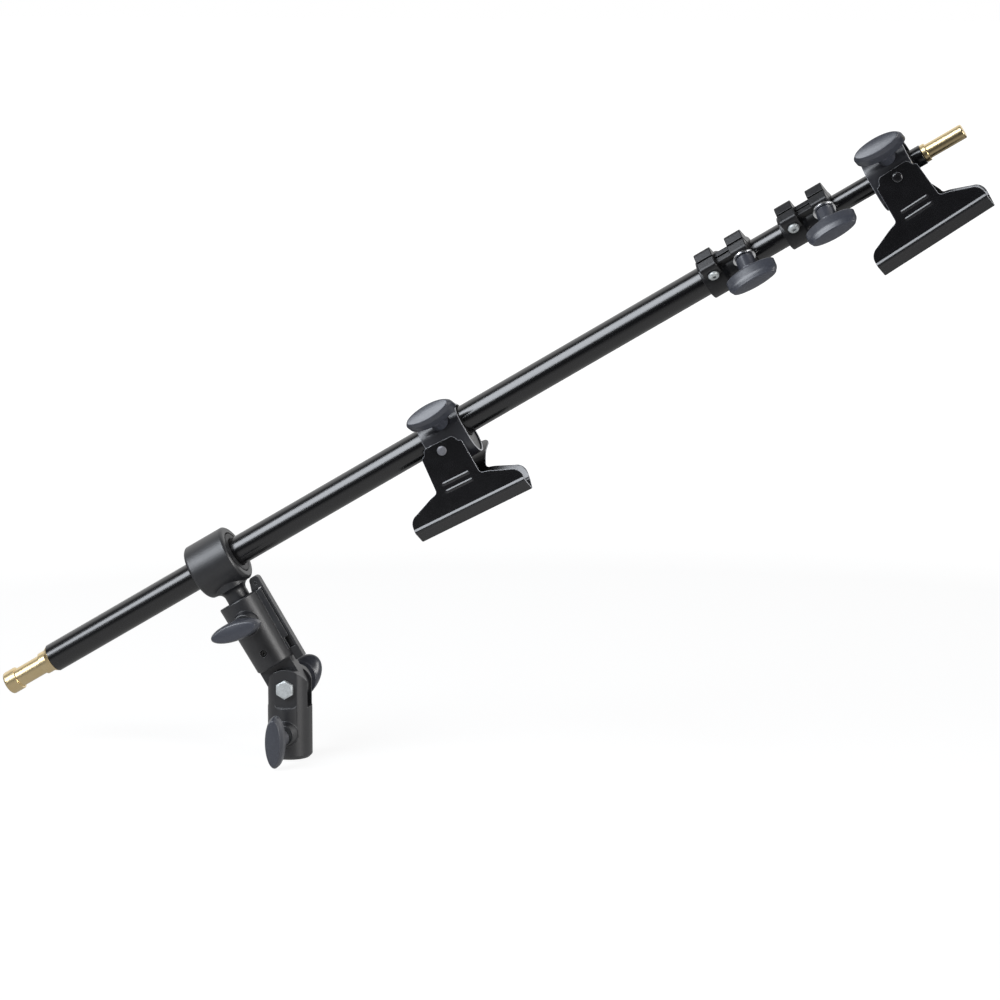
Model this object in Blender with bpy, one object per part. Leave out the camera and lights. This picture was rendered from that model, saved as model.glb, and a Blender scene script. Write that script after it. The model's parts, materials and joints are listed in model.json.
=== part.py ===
"""Telescopic boom arm for light panels and reflectors.

A tilting and swivelling head carries a three section boom. Two spring clips
with wide sheet jaws ride on the boom. Metres, +Z up. The origin is the mouth
of the socket that drops on a stand, and the boom climbs towards +X.
"""

import math

import bmesh
import bpy
from mathutils import Matrix, Vector

for old_object in list(bpy.data.objects):
    bpy.data.objects.remove(old_object, do_unlink=True)

# Fits
CLEARANCE = 0.0003            # between pieces that touch or run in each other
TELESCOPE_GAP = 0.0005        # between one boom section and the next
MERGE_DISTANCE = 0.000002     # points closer than this are one point

# Facets of round shapes
ROUND_STEPS = 32
SMALL_STEPS = 16
CORNER_STEPS = 4
TURN = 2.0 * math.pi

# Standard fittings
STUD_RADIUS = 0.00795         # 5/8 inch lighting stud
PIN_RADIUS = 0.0048           # 3/8 inch pin

# Lower receiver, which drops on the stand
RECEIVER_RADIUS = 0.0150
RECEIVER_CHAMFER = 0.0022
SOCKET_DEPTH = 0.0308
SOCKET_ROOF = 0.0045
LOWER_KNOB_HEIGHT = 0.0180
CHEEK_RISE = 0.0131
CHEEK_HALF = 0.0135
CHEEK_CROWN = 0.0085          # rise of the round top over its corners
FLAT_OFFSET = 0.0129
FLAT_DROP = 0.0130
FLAT_CORNER = 0.0040
FLAT_OVERCUT = 0.0005

# Tilt joint
BOOM_ANGLE = math.radians(30.8)
TONGUE_THICKNESS = 0.0114
TONGUE_RADIUS = 0.0121
TONGUE_FLOOR_GAP = 0.0009
BOLT_RADIUS = 0.0032
BOLT_HEAD_ACROSS = 0.0112
BOLT_HEAD_HEIGHT = 0.0032
TENSION_WASHER_RADIUS = 0.0070
TENSION_WASHER_THICKNESS = 0.0013
TENSION_KNOB_ANGLE = math.radians(52.0)

# Upper receiver, which holds the stem of the boom collar
SHOULDER_GAP = 0.0029
BARREL_LENGTH = 0.0503
BARREL_FOOT_RADIUS = 0.0142
BARREL_TOP_RADIUS = 0.0151
NECK_RISE = 0.0285
STEM_INSERT = 0.0440
UPPER_KNOB_DROP = 0.0163
UPPER_KNOB_ANGLE = math.radians(-9.5)
SET_SCREW_DROP = 0.0393
SET_SCREW_RADIUS = 0.0020
SET_SCREW_REACH = 0.0135
GROOVE_DEPTH = 0.0018

# Keeper beside the upper receiver, on a rib of its barrel
KEEPER_REACH = 0.0202
KEEPER_THICKNESS = 0.0016
KEEPER_WIDTH = 0.0066
KEEPER_TAIL_DROP = 0.0038
KEEPER_TAIL_THICKNESS = 0.0040
KEEPER_FOOT_HEIGHT = 0.0048
KEEPER_HOOK_FOOT = 0.0110
KEEPER_HOOK_TOP = 0.0130
KEEPER_SHELF_GAP = 0.0008
KEEPER_TOP_GAP = 0.0004
KEEPER_CORNER = 0.0027
KEEPER_PIN_RADIUS = 0.0010
KEEPER_PIN_DROP = 0.0042
RIB_START = 0.0051
RIB_WIDTH = 0.0090
RIB_POCKET_TOP = 0.0130
RIB_POCKET_DEPTH = 0.0040

# Clamping boss and screw of each receiver
BOSS_BASE_RADIUS = 0.00875
BOSS_END_RADIUS = 0.0075
BOSS_REACH = 0.0210
KNOB_STANDOFF = 0.0060
KNOB_SCREW_RADIUS = 0.0030
SCREW_TIP_CHAMFER = 0.0008

# Wing knobs: hub, wing where it leaves the hub, widest wing and far face
KNOB_HUB_RADIUS = 0.0062
KNOB_HUB_LENGTH = 0.0098
KNOB_BAR_LENGTH = 0.0350
KNOB_BAR_WIDTH = 0.0128
KNOB_BAR_DEPTH = 0.0110
KNOB_FACE_LENGTH = 0.0318
KNOB_FACE_WIDTH = 0.0108
KNOB_SKIRT = 0.0060
KNOB_EDGE = 0.0009
KNOB_BORE_DEPTH = 0.0090
TENSION_NEAR_WIDTH = 0.0248
TENSION_BAR_LENGTH = 0.0368
TENSION_BAR_WIDTH = 0.0240
TENSION_FACE_LENGTH = 0.0330
TENSION_FACE_WIDTH = 0.0200
OVAL_POWER = 1.95
KNOB_STEPS = 24

# Boom collar and its liner
COLLAR_WALL = 0.0052
COLLAR_LENGTH = 0.0310
COLLAR_CHAMFER = 0.0015
BUSH_WALL = 0.00395
NECK_FILLET = 0.0044

# Boom sections, measured along the boom from the middle of the collar
MAIN_TUBE_RADIUS = 0.00975
MAIN_TUBE_WALL = 0.0012
MAIN_TUBE_LENGTH = 0.5330
MAIN_TUBE_BEHIND = 0.1357
THIN_TUBE_WALL = 0.0010
MIDDLE_TUBE_LENGTH = 0.4800
MIDDLE_TUBE_SHOWING = 0.0599
INNER_TUBE_LENGTH = 0.4800
INNER_TUBE_SHOWING = 0.0886
GUIDE_LENGTH = 0.0040
PLUG_LENGTH = 0.0140

# Brass fittings of the two boom ends
SPIGOT_HEAD_LENGTH = 0.0092
SPIGOT_NECK_RADIUS = 0.0065
SPIGOT_NECK_LENGTH = 0.0201
SPIGOT_FLANGE_LENGTH = 0.0051
SPIGOT_FLANGE_RADIUS = 0.0077
SPIGOT_CONE_LENGTH = 0.0029
SPIGOT_END_ROUNDING = 0.0017
TIP_FLANGE_RADIUS = 0.0060
TIP_FLANGE_LENGTH = 0.0030
TIP_PIN_LENGTH = 0.0263
TIP_PIN_CHAMFER = 0.0006

# Split clamps that lock the telescope
CLAMP_LENGTH = 0.0386
CLAMP_SEAT = 0.0150
CLAMP_RING_START = 0.0012
CLAMP_RING_WALL = 0.0034
CLAMP_RING_END = 0.0160
CLAMP_SLEEVE_WALL = 0.0030
CLAMP_EAR_START = 0.0039
CLAMP_EAR_LENGTH = 0.0119
CLAMP_EAR_RISE = 0.0113
CLAMP_EAR_HALF = 0.00805
CLAMP_EAR_CORNER = 0.0027
CLAMP_SCREW_RISE = 0.00325
CLAMP_SLIT = 0.0012
MAIN_CLAMP_TURN = math.radians(145.0)
MIDDLE_CLAMP_TURN = math.radians(139.0)
CLAMP_WASHER_RADIUS = 0.00775
CLAMP_WASHER_THICKNESS = 0.0013
FIXING_SCREW_RADIUS = 0.0018
FIXING_HEAD_RADIUS = 0.0038
FIXING_HEAD_HEIGHT = 0.0022

# Spring clips, seen from the middle of each strap
LOWER_CLIP_PLACE = 0.1824
UPPER_CLIP_FROM_END = 0.0225
STRAP_WIDTH = 0.0300
STRAP_WALL = 0.0014
STRAP_LEG = 0.0110
SLEEVE_WALL = 0.00075
SLEEVE_SLIT = 0.0030
SADDLE_WIDTH = 0.0280
SADDLE_HORN_DROP = 0.0060
CLIP_KNOB_ANGLE = math.radians(60.0)
CLIP_KNOB_GAP = 0.0012
CLIP_KNOB_SHIFT = 0.0026
RIVET_HEAD_RADIUS = 0.00325
RIVET_HEAD_HEIGHT = 0.0010
RIVET_SHANK_RADIUS = 0.0016
LOWER_RIVET_DROP = 0.0100
UPPER_RIVET_DROP = 0.0075
LOWER_RIVET_GRIP = 0.0060
UPPER_RIVET_GRIP = 0.0034
LOWER_JAW_SHIFT = -0.0055
UPPER_JAW_SHIFT = 0.0024
LOWER_JAW_SWING = math.radians(-3.5)
UPPER_JAW_SWING = math.radians(2.9)
LOWER_HANDLE_SHIFT = 0.0090
UPPER_HANDLE_SHIFT = -0.0060

# Sheet jaws, with heights counted up from the lip edge
JAW_THICKNESS = 0.0010
JAW_HEIGHT = 0.0545
JAW_ABOVE_RIVET = 0.0060
JAW_TOP_HALF = 0.0107
JAW_NOTCH_HALF = 0.0152
JAW_NOTCH_DROP = 0.0080
JAW_NECK_HALF = 0.0163
JAW_NECK_FOOT = 0.0245
JAW_SHOULDER_HALF = 0.0210
JAW_SHOULDER_HEIGHT = 0.0235
JAW_CORNER_HEIGHT = 0.0180
JAW_CORNER_RADIUS = 0.0080
JAW_HALF_WIDTH = 0.0415
LIP_HEIGHT = 0.0063
LIP_GAP = 0.0003
JAW_PIVOT_HEIGHT = 0.0246
JAW_PIVOT_BEHIND = 0.0218     # from the middle of the front jaw's sheet
BEAD_RADIUS = 0.0016
HANDLE_HALF = 0.0145
HANDLE_CORNER = 0.0080
HANDLE_RUN = 0.0140
HANDLE_END_BEHIND = 0.0440
HANDLE_END_HEIGHT = 0.0410
HANDLE_STEPS = 6

# Leaf spring between the jaws
SPRING_THICKNESS = 0.0010
SPRING_HALF_WIDTH = 0.0092
SPRING_RADIUS = 0.0068
SPRING_CUP_END = math.radians(250.0)
SPRING_STEP_DOWN = 0.0030
SPRING_RAMP = 0.0045
SPRING_FOOT = 0.0060
SPRING_STEPS = 12

# Sizes that follow from the ones above
SOCKET_RADIUS = STUD_RADIUS + CLEARANCE
SLOT_DROP = TONGUE_RADIUS + TONGUE_FLOOR_GAP
PIVOT_HEIGHT = SOCKET_DEPTH + SOCKET_ROOF + SLOT_DROP
CHEEK_REACH = max(CHEEK_RISE, math.hypot(CHEEK_HALF, CHEEK_RISE - CHEEK_CROWN))
SHOULDER_RISE = CHEEK_REACH + SHOULDER_GAP
BARREL_TOP = SHOULDER_RISE + BARREL_LENGTH
BOOM_RISE = BARREL_TOP + NECK_RISE
RIB_REACH = KEEPER_REACH - KEEPER_THICKNESS - CLEARANCE
KNOB_HEIGHT = KNOB_HUB_LENGTH + KNOB_BAR_DEPTH
BUSH_BORE = MAIN_TUBE_RADIUS + CLEARANCE
BUSH_RADIUS = BUSH_BORE + BUSH_WALL
COLLAR_BORE = BUSH_RADIUS + CLEARANCE
COLLAR_RADIUS = COLLAR_BORE + COLLAR_WALL
MAIN_TUBE_BORE = MAIN_TUBE_RADIUS - MAIN_TUBE_WALL
MIDDLE_TUBE_RADIUS = MAIN_TUBE_BORE - TELESCOPE_GAP
MIDDLE_TUBE_BORE = MIDDLE_TUBE_RADIUS - THIN_TUBE_WALL
INNER_TUBE_RADIUS = MIDDLE_TUBE_BORE - TELESCOPE_GAP
INNER_TUBE_BORE = INNER_TUBE_RADIUS - THIN_TUBE_WALL
MAIN_TUBE_END = MAIN_TUBE_LENGTH - MAIN_TUBE_BEHIND
MIDDLE_TUBE_END = MAIN_TUBE_END + MIDDLE_TUBE_SHOWING
INNER_TUBE_END = MIDDLE_TUBE_END + INNER_TUBE_SHOWING
SADDLE_RADIUS = MAIN_TUBE_RADIUS + CLEARANCE + SLEEVE_WALL
STRAP_BORE = SADDLE_RADIUS + CLEARANCE
STRAP_RADIUS = STRAP_BORE + STRAP_WALL
JAW_PLANE = STRAP_RADIUS + CLEARANCE + JAW_THICKNESS / 2
TAPPED_RADIUS = KNOB_SCREW_RADIUS + CLEARANCE
WING_NEAR = (KNOB_BAR_LENGTH, KNOB_BAR_WIDTH)
WING_BAR = (KNOB_BAR_LENGTH, KNOB_BAR_WIDTH)
WING_FACE = (KNOB_FACE_LENGTH, KNOB_FACE_WIDTH)
TENSION_NEAR = (TENSION_NEAR_WIDTH, TENSION_NEAR_WIDTH)
TENSION_BAR = (TENSION_BAR_LENGTH, TENSION_BAR_WIDTH)
TENSION_FACE = (TENSION_FACE_LENGTH, TENSION_FACE_WIDTH)


def arc(centre, radius, start, end, steps):
    """Points of a circular arc, both ends included, angles in degrees."""
    points = []
    for step in range(steps + 1):
        angle = math.radians(start + (end - start) * step / steps)
        points.append((centre[0] + radius * math.cos(angle), centre[1] + radius * math.sin(angle)))
    return points


def lathe(profile, steps=ROUND_STEPS, axis="Z"):
    """Spin (radius, height) points round an axis; a profile off the axis closes on itself."""
    shape = bmesh.new()
    verts = [shape.verts.new((radius, 0.0, height)) for radius, height in profile]
    edges = [shape.edges.new(pair) for pair in zip(verts, verts[1:])]
    if profile[0][0] > 0.0:
        edges.append(shape.edges.new((verts[-1], verts[0])))
    bmesh.ops.spin(shape, geom=verts + edges, cent=(0, 0, 0), axis=(0, 0, 1),
                   angle=TURN, steps=steps, use_merge=True)
    if axis == "X":
        bmesh.ops.rotate(shape, verts=shape.verts, matrix=Matrix.Rotation(TURN / 4, 3, "Y"))
    if axis == "Y":
        bmesh.ops.rotate(shape, verts=shape.verts, matrix=Matrix.Rotation(-TURN / 4, 3, "X"))
    bmesh.ops.remove_doubles(shape, verts=shape.verts, dist=MERGE_DISTANCE)
    bmesh.ops.recalc_face_normals(shape, faces=shape.faces)
    return shape


def rod(radius, low, high, steps=SMALL_STEPS, axis="Z"):
    """A plain round bar between two heights of its axis."""
    return lathe([(0.0, low), (radius, low), (radius, high), (0.0, high)], steps, axis)


def pipe(bore, radius, low, high, steps=ROUND_STEPS, axis="Z"):
    """A plain tube between two heights of its axis."""
    return lathe([(bore, low), (radius, low), (radius, high), (bore, high)], steps, axis)


def prism(outline, near, far, plane):
    """Extrude a flat outline between two depths, square to its plane."""
    place = {
        "XZ": lambda u, v, depth: (u, depth, v),
        "YZ": lambda u, v, depth: (depth, u, v),
        "XY": lambda u, v, depth: (u, v, depth),
    }[plane]
    shape = bmesh.new()
    face = shape.faces.new([shape.verts.new(place(u, v, near)) for u, v in outline])
    extruded = bmesh.ops.extrude_face_region(shape, geom=[face])
    moved = [item for item in extruded["geom"] if isinstance(item, bmesh.types.BMVert)]
    bmesh.ops.translate(shape, verts=moved, vec=place(0.0, 0.0, far - near))
    bmesh.ops.recalc_face_normals(shape, faces=shape.faces)
    return shape


def box(low, high):
    """A block between two corners."""
    outline = [(low[0], low[1]), (high[0], low[1]), (high[0], high[1]), (low[0], high[1])]
    return prism(outline, low[2], high[2], "XY")


def loft(rings):
    """Skin rings of equally many points and cap both ends."""
    shape = bmesh.new()
    rows = [[shape.verts.new(point) for point in ring] for ring in rings]
    count = len(rows[0])
    for lower, upper in zip(rows, rows[1:]):
        for index in range(count):
            after = (index + 1) % count
            shape.faces.new((lower[index], lower[after], upper[after], upper[index]))
    shape.faces.new(rows[0])
    shape.faces.new(rows[-1])
    bmesh.ops.recalc_face_normals(shape, faces=shape.faces)
    return shape


def combine(base, tool, operation):
    """Boolean of two closed shapes, which are used up."""
    operands = []
    for shape in (base, tool):
        mesh = bpy.data.meshes.new("operand")
        shape.to_mesh(mesh)
        shape.free()
        operand = bpy.data.objects.new("operand", mesh)
        bpy.context.collection.objects.link(operand)
        operands.append(operand)
    modifier = operands[0].modifiers.new("combine", "BOOLEAN")
    modifier.operation = operation
    modifier.solver = "EXACT"
    modifier.object = operands[1]
    result = bmesh.new()
    result.from_object(operands[0], bpy.context.evaluated_depsgraph_get())
    for operand in operands:
        mesh = operand.data
        bpy.data.objects.remove(operand)
        bpy.data.meshes.remove(mesh)
    bmesh.ops.remove_doubles(result, verts=result.verts, dist=MERGE_DISTANCE)
    return result


def cut(base, *tools):
    """Take each tool out of the base."""
    for tool in tools:
        base = combine(base, tool, "DIFFERENCE")
    return base


def fuse(base, *tools):
    """Join each tool to the base."""
    for tool in tools:
        base = combine(base, tool, "UNION")
    return base


def moved(shape, offset):
    """Shift a shape inside its own frame."""
    bmesh.ops.translate(shape, verts=shape.verts, vec=offset)
    return shape


def turned(shape, angle, axis):
    """Turn a shape about an axis of its own frame."""
    bmesh.ops.rotate(shape, verts=shape.verts, matrix=Matrix.Rotation(angle, 3, axis))
    return shape


def axes_turn(long_axis, outward):
    """Euler angles that take X to the long axis and Z to the outward one."""
    x_axis = Vector(long_axis).normalized()
    z_axis = Vector(outward).normalized()
    y_axis = z_axis.cross(x_axis)
    return Matrix((x_axis, y_axis, z_axis)).transposed().to_euler()


def make_material(name, colour, roughness, metallic):
    """A plain principled finish."""
    material = bpy.data.materials.new(name)
    material.use_nodes = True
    shader = material.node_tree.nodes["Principled BSDF"]
    shader.inputs["Base Color"].default_value = (*colour, 1.0)
    shader.inputs["Roughness"].default_value = roughness
    shader.inputs["Metallic"].default_value = metallic
    return material


FINISHES = {
    "cast": ((0.045, 0.045, 0.055), 0.50, 0.10),
    "tube": ((0.012, 0.012, 0.014), 0.18, 0.10),
    "knob": ((0.085, 0.090, 0.115), 0.45, 0.00),
    "plastic": ((0.020, 0.020, 0.022), 0.45, 0.00),
    "nylon": ((0.030, 0.030, 0.032), 0.60, 0.00),
    "sheet": ((0.030, 0.030, 0.032), 0.35, 0.20),
    "strap": ((0.080, 0.080, 0.090), 0.45, 0.20),
    "rubber": ((0.015, 0.015, 0.015), 0.80, 0.00),
    "brass": ((0.600, 0.420, 0.180), 0.30, 1.00),
    "zinc": ((0.620, 0.620, 0.600), 0.35, 1.00),
    "chrome": ((0.800, 0.800, 0.800), 0.12, 1.00),
    "spring": ((0.100, 0.100, 0.110), 0.35, 0.90),
}


def add_piece(name, shape, finish, parent=None, location=(0.0, 0.0, 0.0), turn=(0.0, 0.0, 0.0)):
    """Give a finished shape its name, its own material and its place."""
    mesh = bpy.data.meshes.new(name)
    shape.to_mesh(mesh)
    shape.free()
    mesh.shade_smooth()
    mesh.set_sharp_from_angle(angle=math.radians(32.0))
    mesh.materials.append(make_material(name + "_" + finish, *FINISHES[finish]))
    piece = bpy.data.objects.new(name, mesh)
    bpy.context.collection.objects.link(piece)
    piece.parent = parent
    piece.location = location
    piece.rotation_euler = turn
    return piece


def add_frame(name, parent=None, location=(0.0, 0.0, 0.0), turn=(0.0, 0.0, 0.0)):
    """An empty that carries the pieces of one joint or assembly."""
    frame = bpy.data.objects.new(name, None)
    bpy.context.collection.objects.link(frame)
    frame.parent = parent
    frame.location = location
    frame.rotation_euler = turn
    return frame


def knob_oval(length, width, height):
    """One ring of the wing knob, a full oval."""
    ring = []
    for step in range(KNOB_STEPS):
        angle = TURN * step / KNOB_STEPS
        across = math.cos(angle)
        along = math.sin(angle)
        size = (abs(across) ** OVAL_POWER + abs(along) ** OVAL_POWER) ** (-1.0 / OVAL_POWER)
        ring.append((across * size * length / 2, along * size * width / 2, height))
    return ring


def knob_circle(radius, height):
    """One round ring of the wing knob's hub or bore."""
    ring = []
    for step in range(KNOB_STEPS):
        angle = TURN * step / KNOB_STEPS
        ring.append((radius * math.cos(angle), radius * math.sin(angle), height))
    return ring


def wing_knob(bore, near, bar, face):
    """Moulded wing on a round hub, with a blind bore for its screw. Z points outward.

    The wing starts as the near oval, is widest as the bar and ends in the face.
    """
    bore_end = KNOB_BORE_DEPTH + CLEARANCE
    rings = [
        knob_circle(bore, bore_end),
        knob_circle(bore, 0.0),
        knob_circle(KNOB_HUB_RADIUS, 0.0),
        knob_circle(KNOB_HUB_RADIUS, KNOB_HUB_LENGTH),
        knob_oval(near[0] - 2 * KNOB_EDGE, near[1] - KNOB_EDGE / 2, KNOB_HUB_LENGTH),
        knob_oval(*near, KNOB_HUB_LENGTH + KNOB_EDGE),
        knob_oval(*bar, KNOB_HUB_LENGTH + KNOB_SKIRT),
        knob_oval(*face, KNOB_HEIGHT - KNOB_EDGE),
        knob_oval(face[0] - 3 * KNOB_EDGE, face[1] - 3 * KNOB_EDGE, KNOB_HEIGHT),
    ]
    return loft(rings)


def knob_screw(length_below_hub):
    """Threaded shank of a wing knob. Its hub face is at Z = 0 and its tip below."""
    radius = KNOB_SCREW_RADIUS
    tip = -length_below_hub
    profile = [
        (0.0, tip),
        (radius - SCREW_TIP_CHAMFER, tip),
        (radius, tip + SCREW_TIP_CHAMFER),
        (radius, KNOB_BORE_DEPTH),
        (0.0, KNOB_BORE_DEPTH),
    ]
    return lathe(profile, SMALL_STEPS)


def add_wing(prefix, parent, seat, outward, long_axis, length_below_hub):
    """A wing knob and its screw, whose hub face stands at the seat."""
    turn = axes_turn(long_axis, outward)
    add_piece(prefix + "_screw", knob_screw(length_below_hub), "zinc", parent, seat, turn)
    knob = wing_knob(TAPPED_RADIUS, WING_NEAR, WING_BAR, WING_FACE)
    add_piece(prefix + "_knob", knob, "knob", parent, seat, turn)


def receiver_boss(height):
    """Conical clamping boss that stands towards -Y at one height."""
    profile = [
        (0.0, RECEIVER_RADIUS / 2),
        (BOSS_BASE_RADIUS, RECEIVER_RADIUS / 2),
        (BOSS_BASE_RADIUS, RECEIVER_RADIUS - CLEARANCE),
        (BOSS_END_RADIUS, BOSS_REACH),
        (0.0, BOSS_REACH),
    ]
    return moved(turned(lathe(profile, SMALL_STEPS), TURN / 4, "X"), (0.0, 0.0, height))


def receiver_tapping(height):
    """Cutter for the tapped hole through the boss into the socket."""
    tapping = rod(TAPPED_RADIUS, 0.0, BOSS_REACH + KNOB_STANDOFF)
    return moved(turned(tapping, TURN / 4, "X"), (0.0, 0.0, height))


def rounded_bar(half_width, low, high, low_corner, high_corner):
    """Outline of an upright bar, widest in the middle, with round corners where asked."""
    outline = []
    if low_corner:
        outline += arc((half_width - low_corner, low + low_corner), low_corner, -90, 0, CORNER_STEPS)
    else:
        outline.append((half_width, low))
    if high_corner:
        outline += arc((half_width - high_corner, high - high_corner), high_corner, 0, 90, CORNER_STEPS)
    else:
        outline.append((half_width, high))
    return outline + [(-u, v) for u, v in reversed(outline)]


def lower_receiver():
    """Clevis on a socket, with flats for the bolt head and the tension knob."""
    top = PIVOT_HEIGHT + CHEEK_RISE
    beyond = RECEIVER_RADIUS * 2
    profile = [
        (0.0, 0.0),
        (RECEIVER_RADIUS - RECEIVER_CHAMFER, 0.0),
        (RECEIVER_RADIUS, RECEIVER_CHAMFER),
        (RECEIVER_RADIUS, top),
        (0.0, top),
    ]
    body = fuse(lathe(profile), receiver_boss(LOWER_KNOB_HEIGHT))
    slot_half = TONGUE_THICKNESS / 2 + CLEARANCE
    slot_floor = PIVOT_HEIGHT - SLOT_DROP
    slot = box((-beyond, -slot_half, slot_floor), (beyond, slot_half, top + beyond))
    body = cut(body, slot)
    crown_radius = (CHEEK_HALF ** 2 + CHEEK_CROWN ** 2) / (2 * CHEEK_CROWN)
    corner_angle = math.degrees(math.asin((crown_radius - CHEEK_CROWN) / crown_radius))
    crown = arc((0.0, top - crown_radius), crown_radius, corner_angle, 180 - corner_angle, 2 * CORNER_STEPS)
    outline = [(-beyond, slot_floor), (-beyond, -beyond), (beyond, -beyond), (beyond, slot_floor),
               (CHEEK_HALF, slot_floor)] + crown + [(-CHEEK_HALF, slot_floor)]
    body = combine(body, prism(outline, -beyond, beyond, "XZ"), "INTERSECT")
    flat_half = math.sqrt(RECEIVER_RADIUS ** 2 - FLAT_OFFSET ** 2) + FLAT_OVERCUT
    flat = rounded_bar(flat_half, PIVOT_HEIGHT - FLAT_DROP, top + beyond, FLAT_CORNER, 0)
    body = cut(body, prism(flat, -beyond, -FLAT_OFFSET, "XZ"), prism(flat, FLAT_OFFSET, beyond, "XZ"))
    bolt_hole = moved(rod(BOLT_RADIUS + CLEARANCE, -beyond, beyond, axis="Y"), (0.0, 0.0, PIVOT_HEIGHT))
    socket = rod(SOCKET_RADIUS, -beyond, SOCKET_DEPTH, ROUND_STEPS)
    body = cut(body, bolt_hole, socket, receiver_tapping(LOWER_KNOB_HEIGHT))
    add_piece("lower_receiver", body, "cast")


def receiver_wing(prefix, parent, height, long_axis):
    """Clamping knob of a receiver, its screw tip just short of the socket."""
    hub_face = BOSS_REACH + KNOB_STANDOFF
    shank = hub_face - SOCKET_RADIUS - CLEARANCE
    add_wing(prefix, parent, (0.0, -hub_face, height), (0.0, -1.0, 0.0), long_axis, shank)


def pivot_hardware():
    """Bolt through the clevis, its washer and the tension knob behind."""
    head_face = FLAT_OFFSET + CLEARANCE
    washer_start = FLAT_OFFSET + CLEARANCE
    washer_end = washer_start + TENSION_WASHER_THICKNESS
    knob_face = washer_end + CLEARANCE
    corner_radius = BOLT_HEAD_ACROSS / math.sqrt(3.0)
    head = lathe([(0.0, -head_face - BOLT_HEAD_HEIGHT), (corner_radius, -head_face - BOLT_HEAD_HEIGHT),
                  (corner_radius, -head_face), (0.0, -head_face)], 6, axis="Y")
    head = turned(head, TURN / 12, "Y")
    shank = rod(BOLT_RADIUS, -head_face - BOLT_HEAD_HEIGHT / 2, knob_face + KNOB_BORE_DEPTH, axis="Y")
    pivot = (0.0, 0.0, PIVOT_HEIGHT)
    add_piece("pivot_bolt", fuse(head, shank), "zinc", None, pivot)
    washer = pipe(BOLT_RADIUS + CLEARANCE, TENSION_WASHER_RADIUS, washer_start, washer_end,
                  SMALL_STEPS, axis="Y")
    add_piece("tension_washer", washer, "zinc", None, pivot)
    long_axis = (math.cos(TENSION_KNOB_ANGLE), 0.0, math.sin(TENSION_KNOB_ANGLE))
    knob = wing_knob(BOLT_RADIUS + CLEARANCE, TENSION_NEAR, TENSION_BAR, TENSION_FACE)
    add_piece("tension_knob", knob, "knob", None, (0.0, knob_face, PIVOT_HEIGHT),
              axes_turn(long_axis, (0.0, 1.0, 0.0)))


def upper_receiver(tilt):
    """Barrel for the collar's stem on a round tongue that tilts in the clevis."""
    half = TONGUE_THICKNESS / 2
    outline = arc((0.0, 0.0), TONGUE_RADIUS, 180, 360, 3 * CORNER_STEPS)
    tongue_top = SHOULDER_RISE + half
    outline += [(TONGUE_RADIUS, tongue_top), (-TONGUE_RADIUS, tongue_top)]
    tongue = prism(outline, -half, half, "XZ")
    chamfer = RECEIVER_CHAMFER / 2
    barrel = lathe([(0.0, SHOULDER_RISE), (BARREL_FOOT_RADIUS - chamfer, SHOULDER_RISE),
                    (BARREL_FOOT_RADIUS, SHOULDER_RISE + chamfer), (BARREL_TOP_RADIUS, BARREL_TOP),
                    (0.0, BARREL_TOP)])
    rib_foot = SHOULDER_RISE + RIB_START
    rib = box((BARREL_FOOT_RADIUS / 2, -RIB_WIDTH / 2, rib_foot), (RIB_REACH, RIB_WIDTH / 2, BARREL_TOP))
    pocket_back = RIB_POCKET_DEPTH - RIB_WIDTH / 2
    pocket = box((BARREL_TOP_RADIUS, -RIB_WIDTH, rib_foot - RIB_START / 2),
                 (2 * RIB_REACH, pocket_back, SHOULDER_RISE + RIB_POCKET_TOP))
    knob_height = BARREL_TOP - UPPER_KNOB_DROP
    body = fuse(barrel, receiver_boss(knob_height), tongue, cut(rib, pocket))
    beyond = RECEIVER_RADIUS * 2
    socket = rod(SOCKET_RADIUS, BARREL_TOP - STEM_INSERT - CLEARANCE, BARREL_TOP + beyond, ROUND_STEPS)
    bolt_hole = rod(BOLT_RADIUS + CLEARANCE, -beyond, beyond, axis="Y")
    screw_hole = rod(SET_SCREW_RADIUS + CLEARANCE, 0.0, beyond)
    screw_hole = moved(turned(screw_hole, TURN / 4, "X"), (0.0, 0.0, BARREL_TOP - SET_SCREW_DROP))
    body = cut(body, socket, bolt_hole, screw_hole, receiver_tapping(knob_height))
    add_piece("upper_receiver", body, "cast", tilt)
    long_axis = (math.cos(UPPER_KNOB_ANGLE), 0.0, math.sin(UPPER_KNOB_ANGLE))
    receiver_wing("upper", tilt, knob_height, long_axis)


def stem_set_screw(tilt):
    """Grub screw in the barrel wall, its point inside the stem's groove."""
    tip = STUD_RADIUS - GROOVE_DEPTH + CLEARANCE
    screw = rod(SET_SCREW_RADIUS, tip, SET_SCREW_REACH)
    screw = turned(screw, TURN / 4, "X")
    add_piece("stem_set_screw", screw, "zinc", tilt, (0.0, 0.0, BARREL_TOP - SET_SCREW_DROP))


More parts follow.
